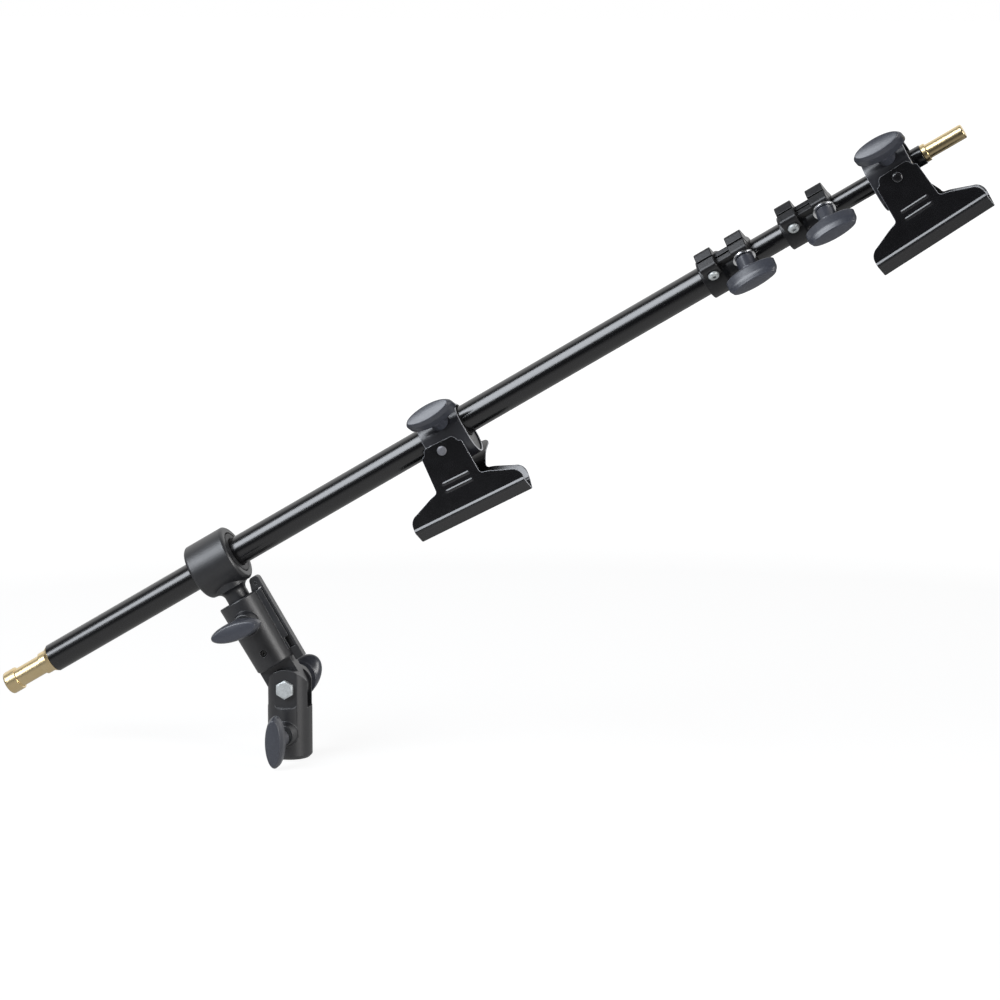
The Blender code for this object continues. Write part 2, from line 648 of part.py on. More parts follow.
def keeper(tilt):
    """Rail along the barrel's rib, footed on the barrel, with a tab above that keeps the stem in."""
    inner = KEEPER_REACH - KEEPER_THICKNESS
    foot = BARREL_FOOT_RADIUS + CLEARANCE
    foot_top = SHOULDER_RISE + KEEPER_FOOT_HEIGHT
    tail_inner = KEEPER_REACH - KEEPER_TAIL_THICKNESS
    tail_end = SHOULDER_RISE - KEEPER_TAIL_DROP
    top = BARREL_TOP + NECK_RISE - COLLAR_RADIUS - KEEPER_TOP_GAP
    shelf = BARREL_TOP + KEEPER_SHELF_GAP
    corner = KEEPER_CORNER
    outline = [(tail_inner, tail_end), (KEEPER_REACH, tail_end)]
    outline += arc((KEEPER_REACH - corner, top - corner), corner, 0, 90, CORNER_STEPS)
    outline += arc((KEEPER_HOOK_TOP + corner, top - corner), corner, 90, 180, CORNER_STEPS)
    outline += [(KEEPER_HOOK_FOOT, shelf), (inner, shelf), (inner, foot_top), (foot, foot_top),
                (foot, SHOULDER_RISE), (tail_inner, SHOULDER_RISE)]
    rail = prism(outline, -KEEPER_WIDTH / 2, KEEPER_WIDTH / 2, "XZ")
    pin_place = ((KEEPER_HOOK_TOP + KEEPER_REACH) / 2, 0.0, top - KEEPER_PIN_DROP)
    hole = rod(KEEPER_PIN_RADIUS + CLEARANCE, -KEEPER_WIDTH, KEEPER_WIDTH, SMALL_STEPS, axis="Y")
    rail = cut(rail, moved(hole, pin_place))
    add_piece("keeper_rail", rail, "cast", tilt)
    pin = rod(KEEPER_PIN_RADIUS, -KEEPER_WIDTH / 2, KEEPER_WIDTH / 2, SMALL_STEPS, axis="Y")
    add_piece("keeper_pin", pin, "zinc", tilt, pin_place)


def boom_collar(swivel):
    """Ring that holds the boom, on a grooved stem that turns in the barrel."""
    half = COLLAR_LENGTH / 2
    ring = lathe([(0.0, -half), (COLLAR_RADIUS - COLLAR_CHAMFER, -half), (COLLAR_RADIUS, -half + COLLAR_CHAMFER),
                  (COLLAR_RADIUS, half - COLLAR_CHAMFER), (COLLAR_RADIUS - COLLAR_CHAMFER, half),
                  (0.0, half)], ROUND_STEPS, axis="X")
    foot = -NECK_RISE - STEM_INSERT
    groove = -NECK_RISE - SET_SCREW_DROP
    groove_half = SET_SCREW_RADIUS + CLEARANCE
    groove_radius = STUD_RADIUS - GROOVE_DEPTH
    flare = -COLLAR_RADIUS
    stem_profile = [
        (0.0, foot),
        (groove_radius, foot),
        (STUD_RADIUS, foot + SCREW_TIP_CHAMFER),
        (STUD_RADIUS, groove - groove_half),
        (groove_radius, groove - groove_half),
        (groove_radius, groove + groove_half),
        (STUD_RADIUS, groove + groove_half),
    ]
    stem_profile += arc((STUD_RADIUS + NECK_FILLET, flare - NECK_FILLET), NECK_FILLET, 180, 90, CORNER_STEPS)
    stem_profile += [(STUD_RADIUS + NECK_FILLET, -COLLAR_BORE / 2), (0.0, -COLLAR_BORE / 2)]
    body = fuse(ring, lathe(stem_profile))
    body = cut(body, rod(COLLAR_BORE, -COLLAR_LENGTH, COLLAR_LENGTH, ROUND_STEPS, axis="X"))
    add_piece("boom_collar", body, "cast", swivel)
    bush = pipe(BUSH_BORE, BUSH_RADIUS, -half, half, ROUND_STEPS, axis="X")
    add_piece("collar_bush", bush, "nylon", swivel)


def tube_guide(bore_outside, tube_bore):
    """Nylon ring on the hidden end of a boom section, with a spigot inside the tube."""
    collar_radius = bore_outside - CLEARANCE
    spigot_radius = tube_bore - CLEARANCE
    passage = spigot_radius - THIN_TUBE_WALL
    return lathe([(passage, -CLEARANCE - GUIDE_LENGTH), (collar_radius, -CLEARANCE - GUIDE_LENGTH),
                  (collar_radius, -CLEARANCE), (spigot_radius, -CLEARANCE),
                  (spigot_radius, PLUG_LENGTH), (passage, PLUG_LENGTH)], ROUND_STEPS, axis="X")


def boom_tubes(boom):
    """Three telescoping sections and the guides on their hidden ends."""
    main = pipe(MAIN_TUBE_BORE, MAIN_TUBE_RADIUS, -MAIN_TUBE_BEHIND, MAIN_TUBE_END, ROUND_STEPS, axis="X")
    add_piece("main_tube", main, "tube", boom)
    middle = pipe(MIDDLE_TUBE_BORE, MIDDLE_TUBE_RADIUS, 0.0, MIDDLE_TUBE_LENGTH, ROUND_STEPS, axis="X")
    middle_start = (MIDDLE_TUBE_END - MIDDLE_TUBE_LENGTH, 0.0, 0.0)
    add_piece("middle_tube", middle, "tube", boom, middle_start)
    add_piece("middle_tube_guide", tube_guide(MAIN_TUBE_BORE, MIDDLE_TUBE_BORE), "nylon", boom, middle_start)
    inner = pipe(INNER_TUBE_BORE, INNER_TUBE_RADIUS, 0.0, INNER_TUBE_LENGTH, ROUND_STEPS, axis="X")
    inner_start = (INNER_TUBE_END - INNER_TUBE_LENGTH, 0.0, 0.0)
    add_piece("inner_tube", inner, "tube", boom, inner_start)
    add_piece("inner_tube_guide", tube_guide(MIDDLE_TUBE_BORE, INNER_TUBE_BORE), "nylon", boom, inner_start)


def end_spigot(boom):
    """Brass lighting stud in the low end of the boom. Its own X runs outward."""
    cone_wide = MAIN_TUBE_RADIUS - CLEARANCE
    flange_end = CLEARANCE + SPIGOT_CONE_LENGTH + SPIGOT_FLANGE_LENGTH
    neck_end = flange_end + SPIGOT_NECK_LENGTH
    head_end = neck_end + SPIGOT_HEAD_LENGTH
    plug_radius = MAIN_TUBE_BORE - CLEARANCE
    rounding = SPIGOT_END_ROUNDING
    profile = [
        (0.0, -PLUG_LENGTH),
        (plug_radius, -PLUG_LENGTH),
        (plug_radius, CLEARANCE),
        (cone_wide, CLEARANCE),
        (SPIGOT_FLANGE_RADIUS, CLEARANCE + SPIGOT_CONE_LENGTH),
        (SPIGOT_FLANGE_RADIUS, flange_end),
        (SPIGOT_NECK_RADIUS, flange_end),
        (SPIGOT_NECK_RADIUS, neck_end),
        (STUD_RADIUS, neck_end),
    ]
    profile += arc((STUD_RADIUS - rounding, head_end - rounding), rounding, 0, 90, CORNER_STEPS)
    profile.append((0.0, head_end))
    spigot = lathe(profile, ROUND_STEPS, axis="X")
    add_piece("end_spigot", spigot, "brass", boom, (-MAIN_TUBE_BEHIND, 0.0, 0.0), (0.0, 0.0, TURN / 2))


def tip_pin(boom):
    """Brass pin in the high end of the boom."""
    flange_end = CLEARANCE + TIP_FLANGE_LENGTH
    pin_end = flange_end + TIP_PIN_LENGTH
    plug_radius = INNER_TUBE_BORE - CLEARANCE
    profile = [
        (0.0, -PLUG_LENGTH),
        (plug_radius, -PLUG_LENGTH),
        (plug_radius, CLEARANCE),
        (TIP_FLANGE_RADIUS, CLEARANCE),
        (TIP_FLANGE_RADIUS, flange_end),
        (PIN_RADIUS, flange_end),
        (PIN_RADIUS, pin_end - TIP_PIN_CHAMFER),
        (PIN_RADIUS - TIP_PIN_CHAMFER, pin_end),
        (0.0, pin_end),
    ]
    add_piece("tip_pin", lathe(profile, ROUND_STEPS, axis="X"), "brass", boom, (INNER_TUBE_END, 0.0, 0.0))


def clamp_ear(start, reach):
    """One ear block of a clamp, outer corners rounded, in the clamp's own frame."""
    half = CLAMP_EAR_HALF
    corner = CLAMP_EAR_CORNER
    outline = [(0.0, -half)]
    outline += arc((reach - corner, -half + corner), corner, -90, 0, CORNER_STEPS)
    outline += arc((reach - corner, half - corner), corner, 0, 90, CORNER_STEPS)
    outline.append((0.0, half))
    return prism(outline, start, start + CLAMP_EAR_LENGTH, "YZ")


def split_clamp(prefix, boom, tube_end, outer_radius, inner_radius, clamp_turn):
    """Clamp on the mouth of one section that squeezes the next one.

    Its own X runs along the boom from its low face, its Y out through the
    ears, and its Z along the screws towards their heads.
    """
    frame = add_frame(prefix + "_frame", boom, (tube_end - CLAMP_SEAT, 0.0, 0.0), (clamp_turn, 0.0, 0.0))
    ear_reach = outer_radius + CLAMP_EAR_RISE
    screw_rise = outer_radius + CLAMP_SCREW_RISE
    far_ear_start = CLAMP_LENGTH - CLAMP_EAR_LENGTH
    ring = rod(outer_radius + CLEARANCE + CLAMP_RING_WALL, CLAMP_RING_START, CLAMP_RING_END, ROUND_STEPS, axis="X")
    sleeve = rod(inner_radius + CLEARANCE + CLAMP_SLEEVE_WALL, CLAMP_RING_END / 2, CLAMP_LENGTH,
                 ROUND_STEPS, axis="X")
    body = fuse(ring, sleeve, clamp_ear(CLAMP_EAR_START, ear_reach), clamp_ear(far_ear_start, ear_reach))
    wide_bore = rod(outer_radius + CLEARANCE, -CLAMP_LENGTH, CLAMP_SEAT + CLEARANCE, ROUND_STEPS, axis="X")
    narrow_bore = rod(inner_radius + CLEARANCE, -CLAMP_LENGTH, 2 * CLAMP_LENGTH, ROUND_STEPS, axis="X")
    slit = box((-CLAMP_LENGTH, 0.0, -CLAMP_SLIT / 2), (2 * CLAMP_LENGTH, 2 * ear_reach, CLAMP_SLIT / 2))
    fixing_place = (CLAMP_EAR_START + CLAMP_EAR_LENGTH / 2, screw_rise, 0.0)
    wing_place = (far_ear_start + CLAMP_EAR_LENGTH / 2, screw_rise, 0.0)
    reach = CLAMP_EAR_HALF * 2
    fixing_hole = moved(rod(FIXING_SCREW_RADIUS + CLEARANCE, -reach, reach), fixing_place)
    wing_hole = moved(rod(TAPPED_RADIUS, -reach, reach), wing_place)
    fixing_seat = moved(rod(FIXING_HEAD_RADIUS + CLEARANCE, CLAMP_EAR_HALF, reach), fixing_place)
    washer_seat = moved(rod(CLAMP_WASHER_RADIUS + CLEARANCE, CLAMP_EAR_HALF, reach), wing_place)
    body = cut(body, wide_bore, narrow_bore, slit, fixing_hole, wing_hole, fixing_seat, washer_seat)
    add_piece(prefix + "_body", body, "plastic", frame)

    head_start = CLAMP_EAR_HALF + CLEARANCE
    fixing = lathe([(0.0, -CLAMP_EAR_HALF), (FIXING_SCREW_RADIUS, -CLAMP_EAR_HALF),
                    (FIXING_SCREW_RADIUS, head_start), (FIXING_HEAD_RADIUS, head_start),
                    (FIXING_HEAD_RADIUS, head_start + FIXING_HEAD_HEIGHT / 2),
                    (FIXING_HEAD_RADIUS - FIXING_HEAD_HEIGHT / 3, head_start + FIXING_HEAD_HEIGHT),
                    (0.0, head_start + FIXING_HEAD_HEIGHT)], SMALL_STEPS)
    add_piece(prefix + "_fixing_screw", fixing, "zinc", frame, fixing_place)
    washer_end = head_start + CLAMP_WASHER_THICKNESS
    washer = pipe(TAPPED_RADIUS, CLAMP_WASHER_RADIUS, head_start, washer_end, SMALL_STEPS)
    add_piece(prefix + "_washer", washer, "chrome", frame, wing_place)
    hub_face = washer_end + CLEARANCE
    seat = (wing_place[0], wing_place[1], hub_face)
    add_wing(prefix, frame, seat, (0.0, 0.0, 1.0), (1.0, 0.0, 0.0), hub_face + CLAMP_EAR_HALF)


def strap_outline(radius):
    """Upright oval round the tube: a half circle on top, flat legs and a half circle below."""
    outline = arc((0.0, 0.0), radius, 0, 180, 2 * CORNER_STEPS)
    return outline + arc((0.0, -STRAP_LEG), radius, 180, 360, 2 * CORNER_STEPS)


def jaw_rows():
    """Half width of a jaw's sheet at each height above its lip edge, from the lip up."""
    corner = JAW_CORNER_RADIUS
    rows = [(JAW_HALF_WIDTH, 0.0), (JAW_HALF_WIDTH, LIP_HEIGHT)]
    rows += arc((JAW_HALF_WIDTH - corner, JAW_CORNER_HEIGHT - corner), corner, 0, 75, CORNER_STEPS)
    rows += [(JAW_SHOULDER_HALF, JAW_SHOULDER_HEIGHT), (JAW_NECK_HALF, JAW_NECK_FOOT)]
    return rows


def sheet(rows, thickness):
    """Bent sheet from rows of (middle, half width, depth, height), thickened evenly to both sides."""
    shape = bmesh.new()
    pairs = [(shape.verts.new((middle - half, depth, height)), shape.verts.new((middle + half, depth, height)))
             for middle, half, depth, height in rows]
    for lower, upper in zip(pairs, pairs[1:]):
        shape.faces.new((lower[0], lower[1], upper[1], upper[0]))
    mesh = bpy.data.meshes.new("sheet")
    shape.to_mesh(mesh)
    shape.free()
    carrier = bpy.data.objects.new("sheet", mesh)
    bpy.context.collection.objects.link(carrier)
    solidify = carrier.modifiers.new("thickness", "SOLIDIFY")
    solidify.thickness = thickness
    solidify.offset = 0.0
    solidify.use_even_offset = True
    result = bmesh.new()
    result.from_object(carrier, bpy.context.evaluated_depsgraph_get())
    bpy.data.objects.remove(carrier)
    bpy.data.meshes.remove(mesh)
    bmesh.ops.recalc_face_normals(result, faces=result.faces)
    return result


def front_jaw():
    """Flat plate that is riveted to the strap, its lip bent back at 45 degrees."""
    foot = JAW_ABOVE_RIVET - JAW_HEIGHT
    rows = []
    for half, height in jaw_rows():
        bent_back = max(LIP_HEIGHT - height, 0.0)
        rows.append((0.0, half, -JAW_PLANE + bent_back, foot + height))
    rows.append((0.0, JAW_NOTCH_HALF, -JAW_PLANE, foot + JAW_HEIGHT - JAW_NOTCH_DROP))
    rows.append((0.0, JAW_TOP_HALF, -JAW_PLANE, foot + JAW_HEIGHT))
    plate = sheet(rows, JAW_THICKNESS)
    hole = rod(RIVET_SHANK_RADIUS + CLEARANCE, -2 * JAW_PLANE, 0.0, SMALL_STEPS, axis="Y")
    return cut(plate, hole)


def jaw_pivot():
    """Depth and height of the rear jaw's bead, in the frame of the rivet."""
    return (JAW_PIVOT_BEHIND - JAW_PLANE, JAW_ABOVE_RIVET - JAW_HEIGHT + JAW_PIVOT_HEIGHT)


def rear_jaw(handle_shift):
    """Sprung jaw: a lip that meets the front one, a slanted plate, a bead and a thumb handle."""
    pivot_depth, pivot_height = jaw_pivot()
    foot = JAW_ABOVE_RIVET - JAW_HEIGHT
    edge_shift = JAW_THICKNESS / math.sqrt(2.0)
    edge_depth = -JAW_PLANE + LIP_HEIGHT + edge_shift + LIP_GAP
    fold = Vector((edge_depth + LIP_HEIGHT, foot + LIP_HEIGHT))
    run = Vector((pivot_depth, pivot_height)) - fold
    lean = math.asin(BEAD_RADIUS / run.length)
    along = Matrix.Rotation(-lean, 2) @ run.normalized()
    passing = fold + along * run.length * math.cos(lean)
    slope = along[0] / along[1]
    rows = []
    for half, height in jaw_rows():
        if height < LIP_HEIGHT:
            rows.append((0.0, half, edge_depth, foot + height))
        else:
            rows.append((0.0, half, fold[0] + slope * (height - LIP_HEIGHT), foot + height))
    start = Vector(rows[-1][2:])
    bend = passing + along * HANDLE_RUN
    end = Vector((HANDLE_END_BEHIND - JAW_PLANE, foot + HANDLE_END_HEIGHT))
    for step in range(1, HANDLE_STEPS + 1):
        share = step / HANDLE_STEPS
        point = start * (1 - share) ** 2 + bend * 2 * share * (1 - share) + end * share ** 2
        corner = HANDLE_CORNER if step == HANDLE_STEPS else 0.0
        rows.append((handle_shift * share, HANDLE_HALF - corner, point[0], point[1]))
    plate = sheet(rows, JAW_THICKNESS)
    bead = rod(BEAD_RADIUS, -SPRING_HALF_WIDTH, SPRING_HALF_WIDTH, SMALL_STEPS, axis="X")
    jaw = fuse(plate, moved(bead, (0.0, pivot_depth, pivot_height)))
    return moved(jaw, (0.0, -pivot_depth, -pivot_height))


def leaf_spring():
    """Strip bent over like a C, footed on the front jaw, with a cup round the rear jaw's bead."""
    pivot_depth, pivot_height = jaw_pivot()
    cup_radius = BEAD_RADIUS + CLEARANCE + SPRING_THICKNESS / 2
    crest = (pivot_depth - cup_radius - SPRING_RADIUS, pivot_height)
    front = crest[0] - SPRING_RADIUS
    foot_depth = -JAW_PLANE + JAW_THICKNESS / 2 + CLEARANCE + SPRING_THICKNESS / 2
    path = [
        (foot_depth, pivot_height - SPRING_STEP_DOWN - SPRING_RAMP - SPRING_FOOT),
        (foot_depth, pivot_height - SPRING_STEP_DOWN - SPRING_RAMP),
        (front, pivot_height - SPRING_STEP_DOWN),
    ]
    path += arc(crest, SPRING_RADIUS, 180, 0, SPRING_STEPS)
    path += arc((pivot_depth, pivot_height), cup_radius, 180, math.degrees(SPRING_CUP_END), CORNER_STEPS)[1:]
    return sheet([(0.0, SPRING_HALF_WIDTH, depth, height) for depth, height in path], SPRING_THICKNESS)


def clip_saddle(rivet_place, rivet_end):
    """Block in the foot of a strap, with a round seat for the tube and a blind hole for the rivet."""
    horn = math.sqrt(STRAP_BORE ** 2 - SADDLE_HORN_DROP ** 2)
    horn_angle = math.degrees(math.atan2(-SADDLE_HORN_DROP, horn))
    outline = arc((0.0, -STRAP_LEG), SADDLE_RADIUS, 180, 360, 2 * CORNER_STEPS)
    outline.append((SADDLE_RADIUS, -SADDLE_HORN_DROP))
    outline += arc((0.0, 0.0), STRAP_BORE, horn_angle, -180 - horn_angle, 2 * CORNER_STEPS)
    outline.append((-SADDLE_RADIUS, -SADDLE_HORN_DROP))
    saddle = prism(outline, -SADDLE_WIDTH / 2, SADDLE_WIDTH / 2, "YZ")
    blind_hole = rod(RIVET_SHANK_RADIUS + CLEARANCE, -2 * STRAP_RADIUS, rivet_end, SMALL_STEPS, axis="Y")
    return cut(saddle, moved(blind_hole, rivet_place))


def jaw_rivet(tip):
    """Rivet through the front jaw and the strap, its tip at one depth behind the tube's axis."""
    head_back = -JAW_PLANE - JAW_THICKNESS / 2 - CLEARANCE
    head_front = head_back - RIVET_HEAD_HEIGHT
    profile = [
        (0.0, head_front),
        (RIVET_HEAD_RADIUS - RIVET_HEAD_HEIGHT, head_front),
        (RIVET_HEAD_RADIUS, head_back - RIVET_HEAD_HEIGHT / 2),
        (RIVET_HEAD_RADIUS, head_back),
        (RIVET_SHANK_RADIUS, head_back),
        (RIVET_SHANK_RADIUS, tip),
        (0.0, tip),
    ]
    return lathe(profile, SMALL_STEPS, axis="Y")


def spring_clip(prefix, boom, place, tube_radius, rivet_drop, rivet_grip, jaw_shift, jaw_swing, handle_shift):
    """Strap, grip sleeve and sprung jaws of one clip, whose screw presses the tube on the saddle."""
    sleeve_radius = tube_radius + CLEARANCE + SLEEVE_WALL
    rise = SADDLE_RADIUS - sleeve_radius
    grip = add_frame(prefix + "_grip_frame", boom, (place, 0.0, 0.0))
    half = STRAP_WIDTH / 2
    sleeve = pipe(tube_radius + CLEARANCE, sleeve_radius, -half, half, ROUND_STEPS, axis="X")
    slit_half = SLEEVE_SLIT / 2
    slit = box((-STRAP_WIDTH, -slit_half, 0.0), (STRAP_WIDTH, slit_half, 2 * sleeve_radius))
    add_piece(prefix + "_sleeve", cut(sleeve, slit), "rubber", grip)

    frame = add_frame(prefix + "_frame", grip, (0.0, 0.0, rise))
    screw_hole = turned(rod(TAPPED_RADIUS, 0.0, 2 * STRAP_RADIUS), CLIP_KNOB_ANGLE, "X")
    rivet_hole = rod(RIVET_SHANK_RADIUS + CLEARANCE, -2 * STRAP_RADIUS, 0.0, SMALL_STEPS, axis="Y")
    rivet_place = (jaw_shift, 0.0, -rivet_drop)
    rivet_end = rivet_grip - STRAP_RADIUS
    strap = prism(strap_outline(STRAP_RADIUS), -half, half, "YZ")
    strap = cut(strap, prism(strap_outline(STRAP_BORE), -STRAP_WIDTH, STRAP_WIDTH, "YZ"),
                moved(screw_hole, (CLIP_KNOB_SHIFT, 0.0, 0.0)), moved(rivet_hole, rivet_place))
    add_piece(prefix + "_strap", strap, "strap", frame)
    add_piece(prefix + "_saddle", clip_saddle(rivet_place, rivet_end), "plastic", frame)

    outward = Vector((0.0, -math.sin(CLIP_KNOB_ANGLE), math.cos(CLIP_KNOB_ANGLE)))
    hub_face = STRAP_RADIUS + CLIP_KNOB_GAP
    seat = outward * hub_face + Vector((CLIP_KNOB_SHIFT, 0.0, 0.0))
    to_axis = rise * math.cos(CLIP_KNOB_ANGLE)
    off_axis = rise * math.sin(CLIP_KNOB_ANGLE)
    tip = math.sqrt((sleeve_radius + CLEARANCE) ** 2 - max(off_axis - KNOB_SCREW_RADIUS, 0.0) ** 2) - to_axis
    add_wing(prefix, frame, seat, outward, (1.0, 0.0, 0.0), hub_face - tip)

    jaw_frame = add_frame(prefix + "_jaw_frame", frame, rivet_place, (0.0, -jaw_swing, 0.0))
    add_piece(prefix + "_rivet", jaw_rivet(rivet_end - CLEARANCE), "zinc", jaw_frame)
    add_piece(prefix + "_front_jaw", front_jaw(), "sheet", jaw_frame)
    add_piece(prefix + "_spring", leaf_spring(), "spring", jaw_frame)
    pivot_depth, pivot_height = jaw_pivot()
    add_piece(prefix + "_rear_jaw", rear_jaw(handle_shift), "sheet", jaw_frame, (0.0, pivot_depth, pivot_height))


def build():
    """The whole boom arm, from the stand socket outward."""
    lower_receiver()
    receiver_wing("lower", None, LOWER_KNOB_HEIGHT, (0.0, 0.0, 1.0))
    pivot_hardware()
    tilt = add_frame("tilt_frame", None, (0.0, 0.0, PIVOT_HEIGHT), (0.0, -BOOM_ANGLE, 0.0))
    upper_receiver(tilt)
    stem_set_screw(tilt)
    keeper(tilt)
    boom = add_frame("boom_frame", tilt, (0.0, 0.0, BOOM_RISE))
    boom_collar(boom)
    boom_tubes(boom)
    end_spigot(boom)
    tip_pin(boom)
    split_clamp("main_clamp", boom, MAIN_TUBE_END, MAIN_TUBE_RADIUS, MIDDLE_TUBE_RADIUS, MAIN_CLAMP_TURN)
    split_clamp("middle_clamp", boom, MIDDLE_TUBE_END, MIDDLE_TUBE_RADIUS, INNER_TUBE_RADIUS,
                MIDDLE_CLAMP_TURN)
    upper_clip_place = INNER_TUBE_END - UPPER_CLIP_FROM_END
    spring_clip("lower_clip", boom, LOWER_CLIP_PLACE, MAIN_TUBE_RADIUS, LOWER_RIVET_DROP, LOWER_RIVET_GRIP,
                LOWER_JAW_SHIFT, LOWER_JAW_SWING, LOWER_HANDLE_SHIFT)
    spring_clip("upper_clip", boom, upper_clip_place, INNER_TUBE_RADIUS, UPPER_RIVET_DROP, UPPER_RIVET_GRIP,
                UPPER_JAW_SHIFT, UPPER_JAW_SWING, UPPER_HANDLE_SHIFT)


build()
bpy.context.view_layer.update()
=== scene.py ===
# %% [markdown]
# # A telescopic boom arm, dressed for its portrait
#
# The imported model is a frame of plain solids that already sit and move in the
# right places. This script gives each of them the surface of the real thing.
# Every visible piece is modelled again from the same sizes, with finer curves
# and soft edges, and rides on the body that the frame gives it.

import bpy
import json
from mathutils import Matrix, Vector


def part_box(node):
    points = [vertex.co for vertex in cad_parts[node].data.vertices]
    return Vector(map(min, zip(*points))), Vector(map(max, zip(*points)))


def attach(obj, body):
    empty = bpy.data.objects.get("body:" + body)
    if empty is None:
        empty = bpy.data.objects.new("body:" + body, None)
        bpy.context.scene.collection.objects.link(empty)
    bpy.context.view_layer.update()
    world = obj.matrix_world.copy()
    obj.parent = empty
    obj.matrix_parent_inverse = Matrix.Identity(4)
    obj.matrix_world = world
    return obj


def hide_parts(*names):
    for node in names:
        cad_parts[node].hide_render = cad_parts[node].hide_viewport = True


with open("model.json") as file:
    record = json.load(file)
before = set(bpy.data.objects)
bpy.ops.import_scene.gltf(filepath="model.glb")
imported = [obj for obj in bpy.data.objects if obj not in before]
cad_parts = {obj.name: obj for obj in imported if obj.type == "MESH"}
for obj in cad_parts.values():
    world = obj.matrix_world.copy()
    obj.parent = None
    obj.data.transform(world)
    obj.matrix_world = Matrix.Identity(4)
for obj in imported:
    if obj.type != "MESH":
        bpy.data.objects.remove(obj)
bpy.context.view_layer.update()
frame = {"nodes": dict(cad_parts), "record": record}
bodies = frame["record"]["behaviour"]["bodies"]
body_of_node = {node: body for body, nodes in bodies.items() for node in nodes}

# %% [markdown]
# Blender's own modules come next. All sizes below are real ones in metres, so
# a value can be checked with a ruler on the real arm.

# %% Modules and facet counts
import json
import math

import bmesh
import bpy
from mathutils import Matrix, Vector

FINE_STEPS = 96
SMALL_STEPS = 48
ARC_STEPS = 10
EASE_STEPS = 4
MERGE_DISTANCE = 0.000002
TURN = 2.0 * math.pi
GAP = 0.0003
EASE_HAIR = 0.0002
EASE_FINE = 0.0003
EASE_SMALL = 0.0004
EASE_WIDE = 0.0006
print("a large ring has", FINE_STEPS, "sides")

# %% [markdown]
# Shader maths reads best as ordinary sums. A Wire holds one output socket, and
# adding or multiplying two wires adds the Math node that does it. Any other
# node comes from one function, which takes the node's type, its settings and
# the values or wires of its sockets.

# %% Wires
class Wire:
    """An output socket that can be used in sums."""

    def __init__(self, tree, socket):
        self.tree = tree
        self.socket = socket

    def join(self, operation, first, second):
        math_node = self.tree.nodes.new("ShaderNodeMath")
        math_node.operation = operation
        for slot, value in enumerate((first, second)):
            if isinstance(value, Wire):
                self.tree.links.new(value.socket, math_node.inputs[slot])
            else:
                math_node.inputs[slot].default_value = value
        return Wire(self.tree, math_node.outputs[0])

    def __add__(self, other):
        return self.join("ADD", self, other)

    def __radd__(self, other):
        return self.join("ADD", other, self)

    def __sub__(self, other):
        return self.join("SUBTRACT", self, other)

    def __rsub__(self, other):
        return self.join("SUBTRACT", other, self)

    def __mul__(self, other):
        return self.join("MULTIPLY", self, other)

    def __rmul__(self, other):
        return self.join("MULTIPLY", other, self)

    def power(self, exponent):
        return self.join("POWER", self, exponent)

    def size(self):
        return self.join("ABSOLUTE", self, 0.0)

    def at_least(self, low):
        return self.join("MAXIMUM", self, low)

    def at_most(self, high):
        return self.join("MINIMUM", self, high)


def add_node(tree, kind, settings, sockets, output=0):
    """Any node: its type, its settings, then the values or wires of its sockets."""
    made = tree.nodes.new(kind)
    for name, value in settings.items():
        setattr(made, name, value)
    for name, value in sockets.items():
        if isinstance(value, Wire):
            tree.links.new(value.socket, made.inputs[name])
        else:
            made.inputs[name].default_value = value
    return Wire(tree, made.outputs[output])


print("wires are ready")

# %% [markdown]
# A finish starts from Blender's Principled shader. Numbers that are the same
# all over the piece go straight on its sockets. Small helpers make what
# varies: cloudy noise, a line along an edge, and a bump from a height.
# The cast finishes use the edge line for wear, while the knob, moulded and
# sheet finishes use it for a painted highlight. The edge line comes from the
# Bevel node, whose softened normal differs from the true one only near an edge.
# A soft edge of zero leaves that node out, which keeps a mirror gloss clean.

# %% The Finish class
MIX_COLOUR_A = 6
MIX_COLOUR_B = 7
MIX_COLOUR_RESULT = 2
VECTOR_MATH_VALUE = 1


